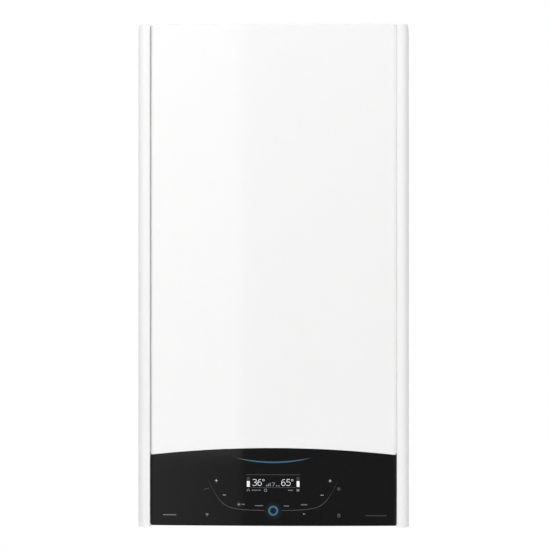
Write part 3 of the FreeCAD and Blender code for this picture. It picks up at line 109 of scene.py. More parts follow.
# camera and studio
viewpoint = {"eye": (0.08, -3.3523, -0.3090), "target": (0.0017, -0.28, -0.3090), "lens": 135, "sensor": 36}


def aim(item, eye, target):
    item.location = eye
    item.rotation_euler = (Vector(target) - Vector(eye)).to_track_quat("-Z", "Y").to_euler()
    scene.collection.objects.link(item)


def makeCamera():
    data = bpy.data.cameras.new("studioCamera")
    data.lens = viewpoint["lens"]
    data.sensor_width = viewpoint["sensor"]
    camera = bpy.data.objects.new("studioCamera", data)
    aim(camera, viewpoint["eye"], viewpoint["target"])
    scene.camera = camera


worldLight = {
    "side": 0.40,
    "front": 1.02,
    "frontSpan": (0.0, -1.0),
    "aboveShare": 0.50,
    "aboveSpan": (0.1, 0.7),
    "frontMirror": 0.142,
    "backdropSpan": (-0.35, 0.15),
}


def makeWorld():
    facts = worldLight
    world = bpy.data.worlds.new("studioWorld")
    scene.world = world
    world.use_nodes = True
    tree = world.node_tree
    tree.nodes.clear()
    depth = axisOf(tree, "Generated", "Y")
    above = addRange(tree, axisOf(tree, "Generated", "Z"), facts["aboveSpan"], (1.0, facts["aboveShare"]))
    ahead = addRange(tree, depth, facts["frontSpan"], (facts["side"], facts["front"]))
    backdrop = addRange(tree, depth, facts["backdropSpan"], (facts["frontMirror"], 1.0))  # for mirrors
    levels = [addMath(tree, "MULTIPLY", ahead, above), addMath(tree, "MULTIPLY", backdrop, above), 1.0]
    light, mirrored, shown = [
        addNode(tree, "ShaderNodeBackground", {"Color": white, "Strength": level}).outputs[0]
        for level in levels]
    path = tree.nodes.new("ShaderNodeLightPath")
    unseen = mixShaders(tree, path.outputs["Is Glossy Ray"], light, mirrored)
    addNode(tree, "ShaderNodeOutputWorld", {"Surface": mixShaders(tree, seenDirectly(tree), unseen, shown)})


def makeSheet(name, corners, finishName):
    mesh = bpy.data.meshes.new(name)
    mesh.from_pydata(corners, [], [(0, 1, 2, 3)])
    sheet = bpy.data.objects.new(name, mesh)
    scene.collection.objects.link(sheet)
    material = bpy.data.materials.new(finishName)
    material.use_nodes = True
    material.node_tree.nodes.clear()
    mesh.materials.append(material)
    return sheet, material.node_tree


studioFloor = {"half": 3.2, "height": -1.45, "colour": (0.86, 0.86, 0.86, 1)}


def makeFloor():
    half, height = studioFloor["half"], studioFloor["height"]
    corners = [(-half, -half, height), (half, -half, height), (half, half, height), (-half, half, height)]
    floor, tree = makeSheet("studioFloor", corners, "floorWhite")
    side = tree.nodes.new("ShaderNodeNewGeometry")
    lit = addNode(tree, "ShaderNodeBsdfDiffuse", {"Color": studioFloor["colour"]}).outputs[0]
    shown = addNode(tree, "ShaderNodeEmission", {"Color": white}).outputs[0]
    clear = tree.nodes.new("ShaderNodeBsdfTransparent").outputs[0]
    upper = mixShaders(tree, seenDirectly(tree), lit, shown)
    both = mixShaders(tree, side.outputs["Backfacing"], upper, clear)
    addNode(tree, "ShaderNodeOutputMaterial", {"Surface": both})
    floor.visible_glossy = False


lamps = {
    "target": (0, -0.16, -0.31),
    "keyLamp": {"at": (-0.9, -2.75, 1.2), "size": (1.5, 1.7), "watts": 60.5},
    "fillLamp": {"at": (1.7, -2.5, 1.5), "size": (1.2, 1.4), "watts": 8},
    "rearLamp": {"at": (0.3, 2.4, 0.9), "size": (1.8, 1.6), "watts": 16},
    "lowLamp": {"at": (0.2, -1.2, -1.35), "size": (1.2, 0.8), "watts": 4.4},
}


def makeLamp(name):
    facts = lamps[name]
    data = bpy.data.lights.new(name, "AREA")
    data.shape = "RECTANGLE"
    data.size, data.size_y = facts["size"]
    data.energy = facts["watts"]
    lamp = bpy.data.objects.new(name, data)
    lamp.visible_camera = False
    aim(lamp, facts["at"], lamps["target"])


# pale cards that the gloss of the panel and of the fascia mirrors, each with one edge in sight
cards = {
    "panelCard": {"edge": -0.235, "far": -1.6, "y": -2.85, "low": -0.80, "high": 1.1,
                  "brightAt": -0.75, "dim": 0.60, "bright": 0.72},
    "fasciaCard": {"edge": -0.235, "far": -1.6, "y": -2.85, "low": -1.4, "high": -0.80,
                   "brightAt": -0.75, "dim": 0.268, "bright": 0.46},
}


def makeCard(name):
    facts = cards[name]
    edge, far, y, low, high = [facts[key] for key in ("edge", "far", "y", "low", "high")]
    corners = [(edge, y, low), (far, y, low), (far, y, high), (edge, y, high)]
    card, tree = makeSheet(name, corners, name + "Glow")
    card.visible_camera = False
    across = axisOf(tree, "Object", "X")
    level = addRange(tree, across, (edge, facts["brightAt"]), (facts["dim"], facts["bright"]))
    glow = addNode(tree, "ShaderNodeEmission", {"Color": white, "Strength": level})
    addNode(tree, "ShaderNodeOutputMaterial", {"Surface": glow.outputs[0]})


makeCamera()
makeWorld()
makeFloor()
for lampName in ("keyLamp", "fillLamp", "rearLamp", "lowLamp"):
    makeLamp(lampName)
for cardName in cards:
    makeCard(cardName)
print("studio ready")


# shader groups shared by several finishes
floatKind, colourKind, vectorKind = "NodeSocketFloat", "NodeSocketColor", "NodeSocketVector"
finishIns = [
    ("Base", colourKind, midGrey), ("Scale", floatKind, 400.0), ("Tone", floatKind, 0.05),
    ("Rough", floatKind, 0.4), ("Rough Spread", floatKind, 0.1), ("Stretch", vectorKind, (1, 1, 1)),
]
finishOuts = [("Color", colourKind), ("Rough", floatKind), ("Height", floatKind)]


def newGroup(name, ins, outs):
    group = bpy.data.node_groups.new(name, "ShaderNodeTree")
    for label, kind, value in ins:
        socket = group.interface.new_socket(label, in_out="INPUT", socket_type=kind)
        socket.default_value = value
    for label, kind in outs:
        group.interface.new_socket(label, in_out="OUTPUT", socket_type=kind)
    return group, group.nodes.new("NodeGroupInput").outputs, group.nodes.new("NodeGroupOutput")


def addNoise(tree, vector, scale, detail):
    inputs = {"Vector": vector, "Scale": scale, "Detail": detail}
    return addNode(tree, "ShaderNodeTexNoise", inputs).outputs["Fac"]


grainFacts = {"detail": 3.0, "broadScale": 0.03, "broadDetail": 2.0}
brushFacts = {"detail": 4.0, "broadScale": 0.12, "broadDetail": 3.0}
spangleFacts = {"cellShare": 0.75, "mottleShare": 0.25, "mottleScale": 4.0, "mottleDetail": 2.0}


def noiseField(tree, vector, scale, facts):
    fine = addNoise(tree, vector, scale, facts["detail"])
    broadScale = addMath(tree, "MULTIPLY", scale, facts["broadScale"])
    return fine, addNoise(tree, vector, broadScale, facts["broadDetail"])


def spangleField(tree, vector, scale, facts):
    cells = addNode(tree, "ShaderNodeTexVoronoi", {"Vector": vector, "Scale": scale})
    split = addNode(tree, "ShaderNodeSeparateColor", {0: cells.outputs["Color"]})
    mottleScale = addMath(tree, "MULTIPLY", scale, facts["mottleScale"])
    mottle = addNoise(tree, vector, mottleScale, facts["mottleDetail"])
    mixed = addMath(tree, "ADD", addMath(tree, "MULTIPLY", split.outputs[0], facts["cellShare"]),
                    addMath(tree, "MULTIPLY", mottle, facts["mottleShare"]))
    return mixed, mixed


def swing(tree, field, share, middle):
    centred = addMath(tree, "SUBTRACT", field, 0.5)
    return addMath(tree, "ADD", addMath(tree, "MULTIPLY", centred, share), middle)


def finishGroup(name, makeField, facts):
    group, given, sink = newGroup(name, finishIns, finishOuts)
    place = group.nodes.new("ShaderNodeTexCoord")
    spread = {0: place.outputs["Object"], 1: given["Stretch"]}
    squeezed = addNode(group, "ShaderNodeVectorMath", spread, "MULTIPLY")
    fine, broad = makeField(group, squeezed.outputs[0], given["Scale"], facts)
    tone = swing(group, broad, given["Tone"], 1.0)
    toned = addNode(group, "ShaderNodeVectorMath", {0: given["Base"], "Scale": tone}, "SCALE")
    rough = swing(group, fine, given["Rough Spread"], given["Rough"])
    plugAll(group, sink, {"Color": toned.outputs[0], "Rough": rough, "Height": fine})
    return group


dustFacts = {"upward": (0.55, 0.98), "patchScale": 60.0, "patchDetail": 5.0, "rough": 0.6,
             "colour": (0.46, 0.44, 0.40, 1)}


def dustGroup():
    ins = [("Color", colourKind, midGrey), ("Rough", floatKind, 0.4), ("Amount", floatKind, 0.2)]
    group, given, sink = newGroup("dustFilm", ins, [("Color", colourKind), ("Rough", floatKind)])
    upward = addRange(group, axisOf(group, "Normal", "Z"), dustFacts["upward"])
    place = group.nodes.new("ShaderNodeTexCoord")
    patch = addNoise(group, place.outputs["Object"], dustFacts["patchScale"], dustFacts["patchDetail"])
    mask = addMath(group, "MULTIPLY", upward, addMath(group, "MULTIPLY", patch, given["Amount"]))
    rough = addMath(group, "ADD", given["Rough"], addMath(group, "MULTIPLY", mask, dustFacts["rough"]))
    colour = mixIn(group, "RGBA", mask, given["Color"], dustFacts["colour"])
    plugAll(group, sink, {"Color": colour, "Rough": rough})
    return group


finishes = {
    "grain": finishGroup("mouldedGrain", noiseField, grainFacts),
    "brush": finishGroup("drawnBrush", noiseField, brushFacts),
    "spangle": finishGroup("zincSpangle", spangleField, spangleFacts),
}
dustFilm = dustGroup()


def addGroup(tree, group, inputs):
    node = tree.nodes.new("ShaderNodeGroup")
    node.node_tree = group
    return plugAll(tree, node, inputs).outputs


def newMaterial(name, colour, rough, metal=0.0, field="grain", scale=900.0, tone=0.05, spread=0.08,
                bump=0.05, depth=0.0002, stretch=(1, 1, 1), dust=0.0, coat=0.0, coatRough=0.05, ior=1.5):
    material = bpy.data.materials.new(name)
    material.use_nodes = True
    tree = material.node_tree
    finish = addGroup(tree, finishes[field], {
        "Base": (*colour, 1), "Scale": scale, "Tone": tone, "Rough": rough, "Rough Spread": spread,
        "Stretch": stretch})
    top = finish
    if dust:
        top = addGroup(tree, dustFilm, {"Amount": dust, "Color": finish["Color"], "Rough": finish["Rough"]})
    relief = addNode(tree, "ShaderNodeBump", {
        "Strength": bump, "Distance": depth, "Height": finish["Height"]})
    plugAll(tree, shaderOf(material), {
        "Base Color": top["Color"], "Roughness": top["Rough"], "Normal": relief.outputs[0],
        "Metallic": metal, "Coat Weight": coat, "Coat Roughness": coatRough, "IOR": ior})
    return material


# one finish for each slot of the record
slotFinishes = {
    "white_sheet": dict(colour=(0.888, 0.888, 0.886), rough=0.045, scale=520, tone=0.010, spread=0.02,
                        bump=0.010, dust=0.05, coat=0.6, coatRough=0.04, ior=1.6),
    "white_moulding": dict(colour=(0.872, 0.872, 0.868), rough=0.20, scale=800, tone=0.010, spread=0.04,
                           bump=0.012, dust=0.05, coat=0.15),
    "zinc_sheet": dict(colour=(0.44, 0.45, 0.46), rough=0.48, metal=1.0, field="spangle", scale=170,
                       tone=0.11, spread=0.14, bump=0.03, dust=0.30),
    "steel_bracket": dict(colour=(0.40, 0.41, 0.40), rough=0.40, metal=1.0, field="brush", scale=260,
                          tone=0.16, spread=0.16, stretch=(0.15, 1, 1), dust=0.25),
    "stainless": dict(colour=(0.60, 0.59, 0.57), rough=0.30, metal=1.0, field="brush", scale=170, tone=0.10,
                      bump=0.02, stretch=(0.04, 1, 0.04), dust=0.12),
    "cast_aluminium": dict(colour=(0.52, 0.52, 0.51), rough=0.44, metal=1.0, scale=420, tone=0.26,
                           spread=0.20, bump=0.60, depth=0.0005, dust=0.22),
    "copper": dict(colour=(0.74, 0.40, 0.26), rough=0.30, metal=1.0, field="brush", scale=300, tone=0.32,
                   spread=0.20, bump=0.04, stretch=(1, 1, 0.2)),
    "brass": dict(colour=(0.74, 0.58, 0.31), rough=0.30, metal=1.0, field="brush", scale=380, tone=0.22,
                  spread=0.18, stretch=(1, 1, 0.3)),
    "black_gloss": dict(colour=(0.0045, 0.0045, 0.005), rough=0.055, scale=300, tone=0.06, spread=0.015,
                        bump=0.004),
    "black_moulding": dict(colour=(0.028, 0.028, 0.030), rough=0.50, scale=1500, tone=0.16, spread=0.14,
                           bump=0.30, dust=0.22),
    "grey_moulding": dict(colour=(0.30, 0.31, 0.32), rough=0.48, scale=1300, tone=0.10, spread=0.14,
                          bump=0.26, dust=0.22),
    "white_flue": dict(colour=(0.76, 0.76, 0.75), rough=0.42, scale=1200, tone=0.04, spread=0.12, bump=0.18,
                       dust=0.25),
    "vessel_paint": dict(colour=(0.46, 0.045, 0.035), rough=0.36, scale=520, tone=0.10, spread=0.12,
                         bump=0.10, dust=0.3),
    "rubber": dict(colour=(0.030, 0.030, 0.031), rough=0.72, tone=0.22, spread=0.14, bump=0.25, dust=0.25),
    "foam": dict(colour=(0.075, 0.076, 0.080), rough=0.90, scale=1700, tone=0.30, spread=0.10, bump=0.9,
                 depth=0.0006),
    "blue_moulding": dict(colour=(0.035, 0.13, 0.42), rough=0.38, scale=1100, tone=0.08, spread=0.10,
                          bump=0.16),
    "red_moulding": dict(colour=(0.58, 0.035, 0.028), rough=0.38, scale=1100, tone=0.08, spread=0.10,
                         bump=0.16),
    "ceramic": dict(colour=(0.82, 0.80, 0.74), rough=0.22, scale=700, tone=0.06, spread=0.06, coat=0.4),
    "circuit_board": dict(colour=(0.025, 0.17, 0.065), rough=0.34, scale=420, tone=0.35, spread=0.14,
                          bump=0.10),
    "display_glass": dict(colour=(0.012, 0.015, 0.018), rough=0.08, scale=300, spread=0.02, bump=0.004),
    "key_light": dict(colour=(0.03, 0.066, 0.086), rough=0.25, spread=0.05, bump=0.02),
    "steel_pin": dict(colour=(0.66, 0.66, 0.66), rough=0.20, metal=1.0, field="brush", scale=500, tone=0.10,
                      spread=0.10, bump=0.03, stretch=(0.1, 1, 1)),
    "silicone_lead": dict(colour=(0.36, 0.045, 0.022), rough=0.48, tone=0.12, spread=0.10, bump=0.10),
}
finishOf = {slot: newMaterial(slot, **facts) for slot, facts in slotFinishes.items()}


def dress(node, material):
    slots = nodes[node].data.materials
    slots.clear()
    slots.append(material)


for part in frame["record"]["subparts"]:
    dress(part["node"], finishOf[part["material_slot"]])
print("finishes placed:", len(finishOf))


# finishes that change along one piece
def axisMask(tree, axis, low, high):
    value = axisOf(tree, "Object", axis)
    past, short = addMath(tree, "GREATER_THAN", value, low), addMath(tree, "LESS_THAN", value, high)
    return addMath(tree, "MULTIPLY", past, short)


def stripeMask(tree, axis, pitch, share, shift):
    along = addMath(tree, "SUBTRACT", axisOf(tree, "Object", axis), shift)
    turns = addMath(tree, "MULTIPLY", along, 1 / pitch)
    return addMath(tree, "LESS_THAN", addMath(tree, "FRACT", turns), share)


def blendIn(material, mask, facts):
    tree, shader = material.node_tree, shaderOf(material)
    base = shader.inputs["Base Color"]
    tree.links.new(mixIn(tree, "RGBA", mask, base.links[0].from_socket, (*facts["colour"], 1)), base)
    for name, value in (("Roughness", facts["rough"]), ("Metallic", facts["metal"])):
        entry = shader.inputs[name]
        before = entry.links[0].from_socket if entry.links else entry.default_value
        if before != value:
            tree.links.new(mixIn(tree, "FLOAT", mask, before, value), entry)
    return material


tailThread = {"length": 34 * mm, "pitch": 1.8 * mm, "depth": 0.4 * mm, "strength": 0.7, "ridge": 1.5,
              "grain": 0.5}
valveCover = {"ahead": 1.0, "depth": 23.8 * mm, "colour": (0.02, 0.02, 0.022), "rough": 0.46,
              "metal": 0.0}
plateSeams = {"plates": 12, "share": 0.34, "shift": 0.33, "colour": (0.62, 0.30, 0.17), "rough": 0.34,
              "metal": 1.0}
boardChips = {"front": -0.29, "board": 1.8 * mm, "colour": (0.022, 0.022, 0.026), "rough": 0.42,
              "metal": 0.0}


def dressTails():
    facts = tailThread
    material = newMaterial("threadedBrass", **{**slotFinishes["brass"], "bump": facts["grain"]})
    tree = material.node_tree
    relief = tree.nodes["Bump"]
    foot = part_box("pipe_tails")[0].z
    turns = addMath(tree, "MULTIPLY", axisOf(tree, "Object", "Z"), 2 * math.pi / facts["pitch"])
    threaded = axisMask(tree, "Z", foot, foot + facts["length"])
    ridge = addMath(tree, "MULTIPLY", addMath(tree, "SINE", turns), threaded)
    grain = relief.inputs["Height"].links[0].from_socket
    height = addMath(tree, "ADD", grain, addMath(tree, "MULTIPLY", ridge, facts["ridge"]))
    plugAll(tree, relief, {"Height": height, "Strength": facts["strength"], "Distance": facts["depth"]})
    dress("pipe_tails", material)


def dressMixed():
    valve = newMaterial("valveBody", **slotFinishes["cast_aluminium"])
    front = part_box("gas_valve")[0].y
    cover = axisMask(valve.node_tree, "Y", front - valveCover["ahead"], front + valveCover["depth"])
    dress("gas_valve", blendIn(valve, cover, valveCover))
    plates = newMaterial("brazedPlates", **slotFinishes["stainless"])
    low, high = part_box("plate_exchanger")
    pitch = (high.y - low.y) / plateSeams["plates"]
    start = low.y + pitch * plateSeams["shift"]
    seams = stripeMask(plates.node_tree, "Y", pitch, plateSeams["share"], start)
    dress("plate_exchanger", blendIn(plates, seams, plateSeams))
    boards = newMaterial("boardGreen", **slotFinishes["circuit_board"])
    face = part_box("circuit_boards")[1].y - boardChips["board"]
    chips = axisMask(boards.node_tree, "Y", boardChips["front"], face)
    dress("circuit_boards", blendIn(boards, chips, boardChips))


dressTails()
dressMixed()


# finishes that give off light
litFinish = dict(rough=0.3, spread=0.05, bump=0.01)
glowFinish = dict(colour=(0.006, 0.008, 0.010), rough=0.08, scale=300, spread=0.02, bump=0.004)
keyFacts = {"colour": (0.003, 0.005, 0.012), "glow": (0.001, 0.008, 0.030), "ior": 1.25}


def litMaterial(name, colour, glow, **more):
    material = newMaterial(name, colour, **litFinish, **more)
    plugAll(material.node_tree, shaderOf(material), {"Emission Color": (*glow, 1), "Emission Strength": 1.0})
    return material


def fadingGlow(name, middleGlow, endGlow, reach, centre=(0, 0, 0), squeeze=(1, 1, 1), shoulderAt=0.62):
    material = newMaterial(name, **glowFinish)
    tree = material.node_tree
    place = tree.nodes.new("ShaderNodeTexCoord")
    shift = addNode(tree, "ShaderNodeMapping", {
        "Vector": place.outputs["Object"], "Scale": [s / reach for s in squeeze],
        "Location": [-c * s / reach for c, s in zip(centre, squeeze)]})
    length = addNode(tree, "ShaderNodeVectorMath", {0: shift.outputs[0]}, "LENGTH")
    ramp = addNode(tree, "ShaderNodeValToRGB", {"Fac": length.outputs["Value"]})
    stops = ramp.color_ramp.elements
    stops[0].color = (*middleGlow, 1)
    stops[1].color = (0, 0, 0, 1)
    stops.new(shoulderAt).color = (*endGlow, 1)
    plugAll(tree, shaderOf(material), {"Emission Color": ramp.outputs["Color"], "Emission Strength": 1.0})
    return material


dress("key_core", litMaterial("keyNavy", keyFacts["colour"], keyFacts["glow"], ior=keyFacts["ior"]))


# what every new piece goes through
def newPiece(name, mesh, body):
    piece = bpy.data.objects.new(name, mesh)
    scene.collection.objects.link(piece)
    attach(piece, body)


def pieceFrom(build, name, material, body):
    bmesh.ops.scale(build, vec=(mm, mm, mm), verts=build.verts[:])
    mesh = bpy.data.meshes.new(name)
    build.to_mesh(mesh)
    build.free()
    mesh.materials.append(material)
    newPiece(name, mesh, body)


def thicken(build, depth):
    grown = bmesh.ops.extrude_face_region(build, geom=build.faces[:])
    for item in grown["geom"]:
        if isinstance(item, bmesh.types.BMVert):
            item.co.y += depth
    bmesh.ops.recalc_face_normals(build, faces=build.faces[:])


# white lip in the groove beside the left column
seamLip = {"left": -181.75, "right": -181.29, "front": -310.0, "back": -301.0, "low": -572.0, "high": 58.0,
           "bevel": 0.1}
# white bead along the right edge of the front panel, which sits close to that column
panelBead = {"left": 179.2, "right": 181.62, "front": -312.3, "back": -305.0, "low": -572.0, "high": 58.0,
             "bevel": 0.3}


def makeStrip(name, facts, body, slot):
    build = bmesh.new()
    low = [facts[key] for key in ("left", "front", "low")]
    high = [facts[key] for key in ("right", "back", "high")]
    for vert in bmesh.ops.create_cube(build, size=1.0)["verts"]:
        vert.co = [(a + b) / 2 + c * (b - a) for a, b, c in zip(low, high, vert.co)]
    bmesh.ops.bevel(build, geom=build.edges[:], offset=facts["bevel"], segments=2, affect="EDGES",
                    profile=0.5)
    pieceFrom(build, name, finishOf[slot], body)


# foam sheet glued inside the front panel
panelLiner = {"half": 164.0, "low": -552.0, "high": 44.0, "corner": 14.0, "cornerSteps": 6, "columns": 24,
              "radius": 2703.0, "front": -318.7, "thick": 2.0}


def makeLiner():
    facts = panelLiner
    corner, steps = facts["corner"], facts["cornerSteps"]
    right, low, high = facts["half"] - corner, facts["low"] + corner, facts["high"] - corner
    outline = []
    for quarter, (x, z) in enumerate(((right, high), (-right, high), (-right, low), (right, low))):
        for step in range(steps + 1):
            angle = math.pi / 2 * (quarter + step / steps)
            outline.append((x + corner * math.cos(angle), 0, z + corner * math.sin(angle)))
    build = bmesh.new()
    build.faces.new([build.verts.new(point) for point in outline])
    for step in range(1, facts["columns"]):
        cut = -facts["half"] + 2 * facts["half"] * step / facts["columns"]
        everything = build.verts[:] + build.edges[:] + build.faces[:]
        bmesh.ops.bisect_plane(build, geom=everything, plane_co=(cut, 0, 0), plane_no=(1, 0, 0))
    for vert in build.verts:
        vert.co.y = facts["front"] + facts["radius"] - math.sqrt(facts["radius"] ** 2 - vert.co.x ** 2)
    thicken(build, facts["thick"])
    pieceFrom(build, "panelLiner", finishOf["foam"], "front_casing")


makeStrip("seamLips", seamLip, "chassis", "white_moulding")
makeStrip("panelBead", panelBead, "front_casing", "white_sheet")
makeLiner()
print("lip, bead and liner placed")


# printed and lit signs on the bowed fascia, in millimetres across and up from the case's lower edge
fascia = {
    "radius": 2733.08,
    "front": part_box("control_fascia")[0].y / mm,
    "foot": -680.0,
    "ink": 0.06,
    "root": 0.25,
    "step": 4.0,
    "weld": 0.0005,
}

# strokes of the lit figures, on a height of 1
digitShapes = {
    "pitch": 0.80,
    "stretch": 1.1,
    "3": [[(0.03, 0.90), (0.15, 0.98), (0.30, 1.0), (0.45, 0.96), (0.53, 0.85), (0.53, 0.70), (0.44, 0.58),
           (0.22, 0.53)],
          [(0.22, 0.53), (0.46, 0.48), (0.57, 0.36), (0.57, 0.18), (0.45, 0.04), (0.28, 0.0), (0.12, 0.02),
           (0.0, 0.10)]],
    "5": [[(0.50, 1.0), (0.30, 1.0), (0.10, 1.0)],
          [(0.10, 1.0), (0.08, 0.78), (0.06, 0.55)],
          [(0.06, 0.55), (0.22, 0.62), (0.40, 0.60), (0.54, 0.46), (0.56, 0.28), (0.48, 0.10), (0.30, 0.0),
           (0.12, 0.03), (0.0, 0.10)]],
    "6": [[(0.50, 0.97), (0.36, 1.0), (0.22, 0.93), (0.10, 0.78), (0.03, 0.55), (0.02, 0.30), (0.09, 0.10),
           (0.28, 0.0), (0.47, 0.08), (0.56, 0.28), (0.49, 0.50), (0.30, 0.60), (0.13, 0.52), (0.04, 0.38)]],
}


def bowedY(x):
    return fascia["front"] + fascia["radius"] - math.sqrt(fascia["radius"] ** 2 - x * x)


def smoothed(points, steps=6):
    ends = [points[0]] + list(points) + [points[-1]]
    curve = []
    for a, b, c, d in zip(ends, ends[1:], ends[2:], ends[3:]):
        for step in range(steps):
            t = step / steps
            curve.append(tuple(0.5 * (2 * q + (r - p) * t + (2 * p - 5 * q + 4 * r - s) * t * t
                                      + (3 * q - p - 3 * r + s) * t ** 3) for p, q, r, s in zip(a, b, c, d)))
    return curve + [points[-1]]


class SignSheet:
    def __init__(self, name, material):
        self.name, self.material, self.build = name, material, bmesh.new()

    def face(self, corners):
        self.build.faces.new([self.build.verts.new((x, 0, z)) for x, z in corners])

    def stroke(self, points, width, closed=False):
        path = list(points) + ([points[0]] if closed else [])
        last = len(path) - 1
        rims = []
        for index, (x, z) in enumerate(path):
            before = path[index - 1] if index else path[-2 if closed else 0]
            after = path[index + 1] if index < last else path[1 if closed else -1]
            run = Vector((after[0] - before[0], after[1] - before[1])).normalized()
            wide = width(index / last) if callable(width) else width
            side = Vector((-run.y, run.x)) * wide / 2
            rims.append(((x + side.x, z + side.y), (x - side.x, z - side.y)))
        for (a, b), (c, d) in zip(rims, rims[1:]):
            self.face([a, b, d, c])

    def bar(self, low, high):
        count = max(1, math.ceil((high[0] - low[0]) / fascia["step"]))
        for index in range(count):
            left = low[0] + (high[0] - low[0]) * index / count
            right = low[0] + (high[0] - low[0]) * (index + 1) / count
            self.face([(left, low[1]), (right, low[1]), (right, high[1]), (left, high[1])])

    def ticks(self, left, right, middle, height, pitch=1.25, width=0.8):
        count = max(1, round((right - left) / pitch))
        for index in range(count):
            corner = left + (right - left) * index / count
            self.bar((corner, middle - height / 2), (corner + width, middle + height / 2))

    def ring(self, centre, radius, width, start=0, sweep=360, count=28):
        angles = [math.radians(start + sweep * step / count) for step in range(count + 1)]
        points = [(centre[0] + radius * math.cos(a), centre[1] + radius * math.sin(a)) for a in angles]
        if sweep == 360:
            self.stroke(points[:-1], width, closed=True)
        else:
            self.stroke(points, width)

    def disc(self, centre, radius, count=20):
        turn = 2 * math.pi / count
        self.face([(centre[0] + radius * math.cos(turn * step), centre[1] + radius * math.sin(turn * step))
                   for step in range(count)])

    def rays(self, centre, reach, width, count=8):
        for step in range(count):
            angle = 2 * math.pi * step / count
            ends = [(centre[0] + far * math.cos(angle), centre[1] + far * math.sin(angle)) for far in reach]
            self.stroke(ends, width)

    def digits(self, text, left, base, height, width):
        wide, pitch = height * digitShapes["stretch"], height * digitShapes["pitch"]
        for index, digit in enumerate(text):
            corner = left + index * pitch
            for line in digitShapes[digit]:
                points = [(corner + x * wide, base + z * height) for x, z in line]
                self.stroke(smoothed(points), width)
        return left + len(text) * pitch

    def finish(self, slot, lift=0.0):
        build = self.build
        bmesh.ops.remove_doubles(build, verts=build.verts[:], dist=fascia["weld"])
        for vert in build.verts:
            vert.co.y = bowedY(vert.co.x) - fascia["ink"] - lift
            vert.co.z += fascia["foot"]
        thicken(build, fascia["root"])
        pieceFrom(build, self.name, self.material, "control_box")


# colour and glow of each kind of lit sign
signLights = {
    "displayWhite": ((0.4, 0.4, 0.4), (0.42, 0.43, 0.45)),
    "barWhite": ((0.5, 0.5, 0.5), (0.42, 0.42, 0.42)),
    "signWhite": ((0.4, 0.4, 0.4), (0.30, 0.31, 0.32)),
    "labelGrey": ((0.12, 0.12, 0.12), (0.10, 0.105, 0.11)),
    "dimGrey": ((0.035, 0.035, 0.035), (0.028, 0.029, 0.03)),
}
lightOf = {name: litMaterial(name, colour, glow) for name, (colour, glow) in signLights.items()}

displayLines = {"reach": 39.7, "head": 77.2, "foot": 58.5, "footInset": 6.5, "half": 0.375}
displayGauges = {"at": 36.6, "half": 2.3, "low": 68.6, "pitch": 1.9, "height": 1.2, "count": 3,
                 "barLeft": 2.1, "barRight": 2.2, "barRise": 0.9, "barTop": 67.8}
displayFigures = {"starts": {"36": -30.2, "65": 12.2}, "base": 61.2, "height": 9.2, "width": 0.80,
                  "degreeGap": 1.1, "degreeAt": 69.2, "degreeRadius": 1.35, "degreeWidth": 0.5}
displaySmall = {
    "base": 60.2,
    "stairs": (2.2, 3.6, 5.0), "stairLeft": -10.4, "stairPitch": 2.6, "stairWidth": 1.6,
    "hook": [(-1.9, 65.4), (2.6, 65.4), (-0.4, 60.4)],
    "dots": (4.0, 7.4), "dotSize": (2.0, 1.4),
    "ticks": ((-31.5, -23.0), (-21.6, -18.2), (22.0, 29.6)), "tickAt": 54.4, "tickHeight": 1.6,
    "ringAt": -11.2, "ringRadius": 1.9, "ringWidth": 0.9,
    "roof": [(-38.8, 53.0), (-36.6, 56.4), (-34.4, 53.0)], "lineWidth": 1.2,
    "block": ((34.6, 52.8), (38.4, 56.2)),
    "roundSteps": 16,
}


def displaySigns():
    frameLines, gauge, figures, small = displayLines, displayGauges, displayFigures, displaySmall
    lines = SignSheet("displayLines", lightOf["dimGrey"])
    for z, inset in ((frameLines["head"], 0), (frameLines["foot"], frameLines["footInset"])):
        reach = frameLines["reach"] - inset
        lines.bar((-reach, z - frameLines["half"]), (reach, z + frameLines["half"]))
    for middle in (-gauge["at"], gauge["at"]):
        for step in range(gauge["count"]):
            low = gauge["low"] + step * gauge["pitch"]
            lines.bar((middle - gauge["half"], low), (middle + gauge["half"], low + gauge["height"]))
    lines.finish("display_glass")

    bars = SignSheet("displayBars", lightOf["barWhite"])
    for middle in (-gauge["at"], gauge["at"]):
        bars.bar((middle - gauge["barLeft"], frameLines["foot"] + gauge["barRise"]),
                 (middle + gauge["barRight"], gauge["barTop"]))
    bars.finish("display_glass")

    digits = SignSheet("displayDigits", lightOf["displayWhite"])
    for text, left in figures["starts"].items():
        end = digits.digits(text, left, figures["base"], figures["height"], figures["width"])
        degreeAt = (end + figures["degreeGap"], figures["degreeAt"])
        digits.ring(degreeAt, figures["degreeRadius"], figures["degreeWidth"], count=small["roundSteps"])
    digits.finish("display_glass")

    signs = SignSheet("displaySmallSigns", lightOf["labelGrey"])
    for step, height in enumerate(small["stairs"]):
        left = small["stairLeft"] + step * small["stairPitch"]
        signs.bar((left, small["base"]), (left + small["stairWidth"], small["base"] + height))
    signs.stroke(small["hook"], small["lineWidth"])
    for left in small["dots"]:
        signs.bar((left, small["base"]), (left + small["dotSize"][0], small["base"] + small["dotSize"][1]))
    for left, right in small["ticks"]:
        signs.ticks(left, right, small["tickAt"], small["tickHeight"])
    ringAt = (small["ringAt"], small["tickAt"])
    signs.ring(ringAt, small["ringRadius"], small["ringWidth"], count=small["roundSteps"])
    signs.stroke(small["roof"], small["lineWidth"])
    signs.bar(*small["block"])
    signs.finish("display_glass")


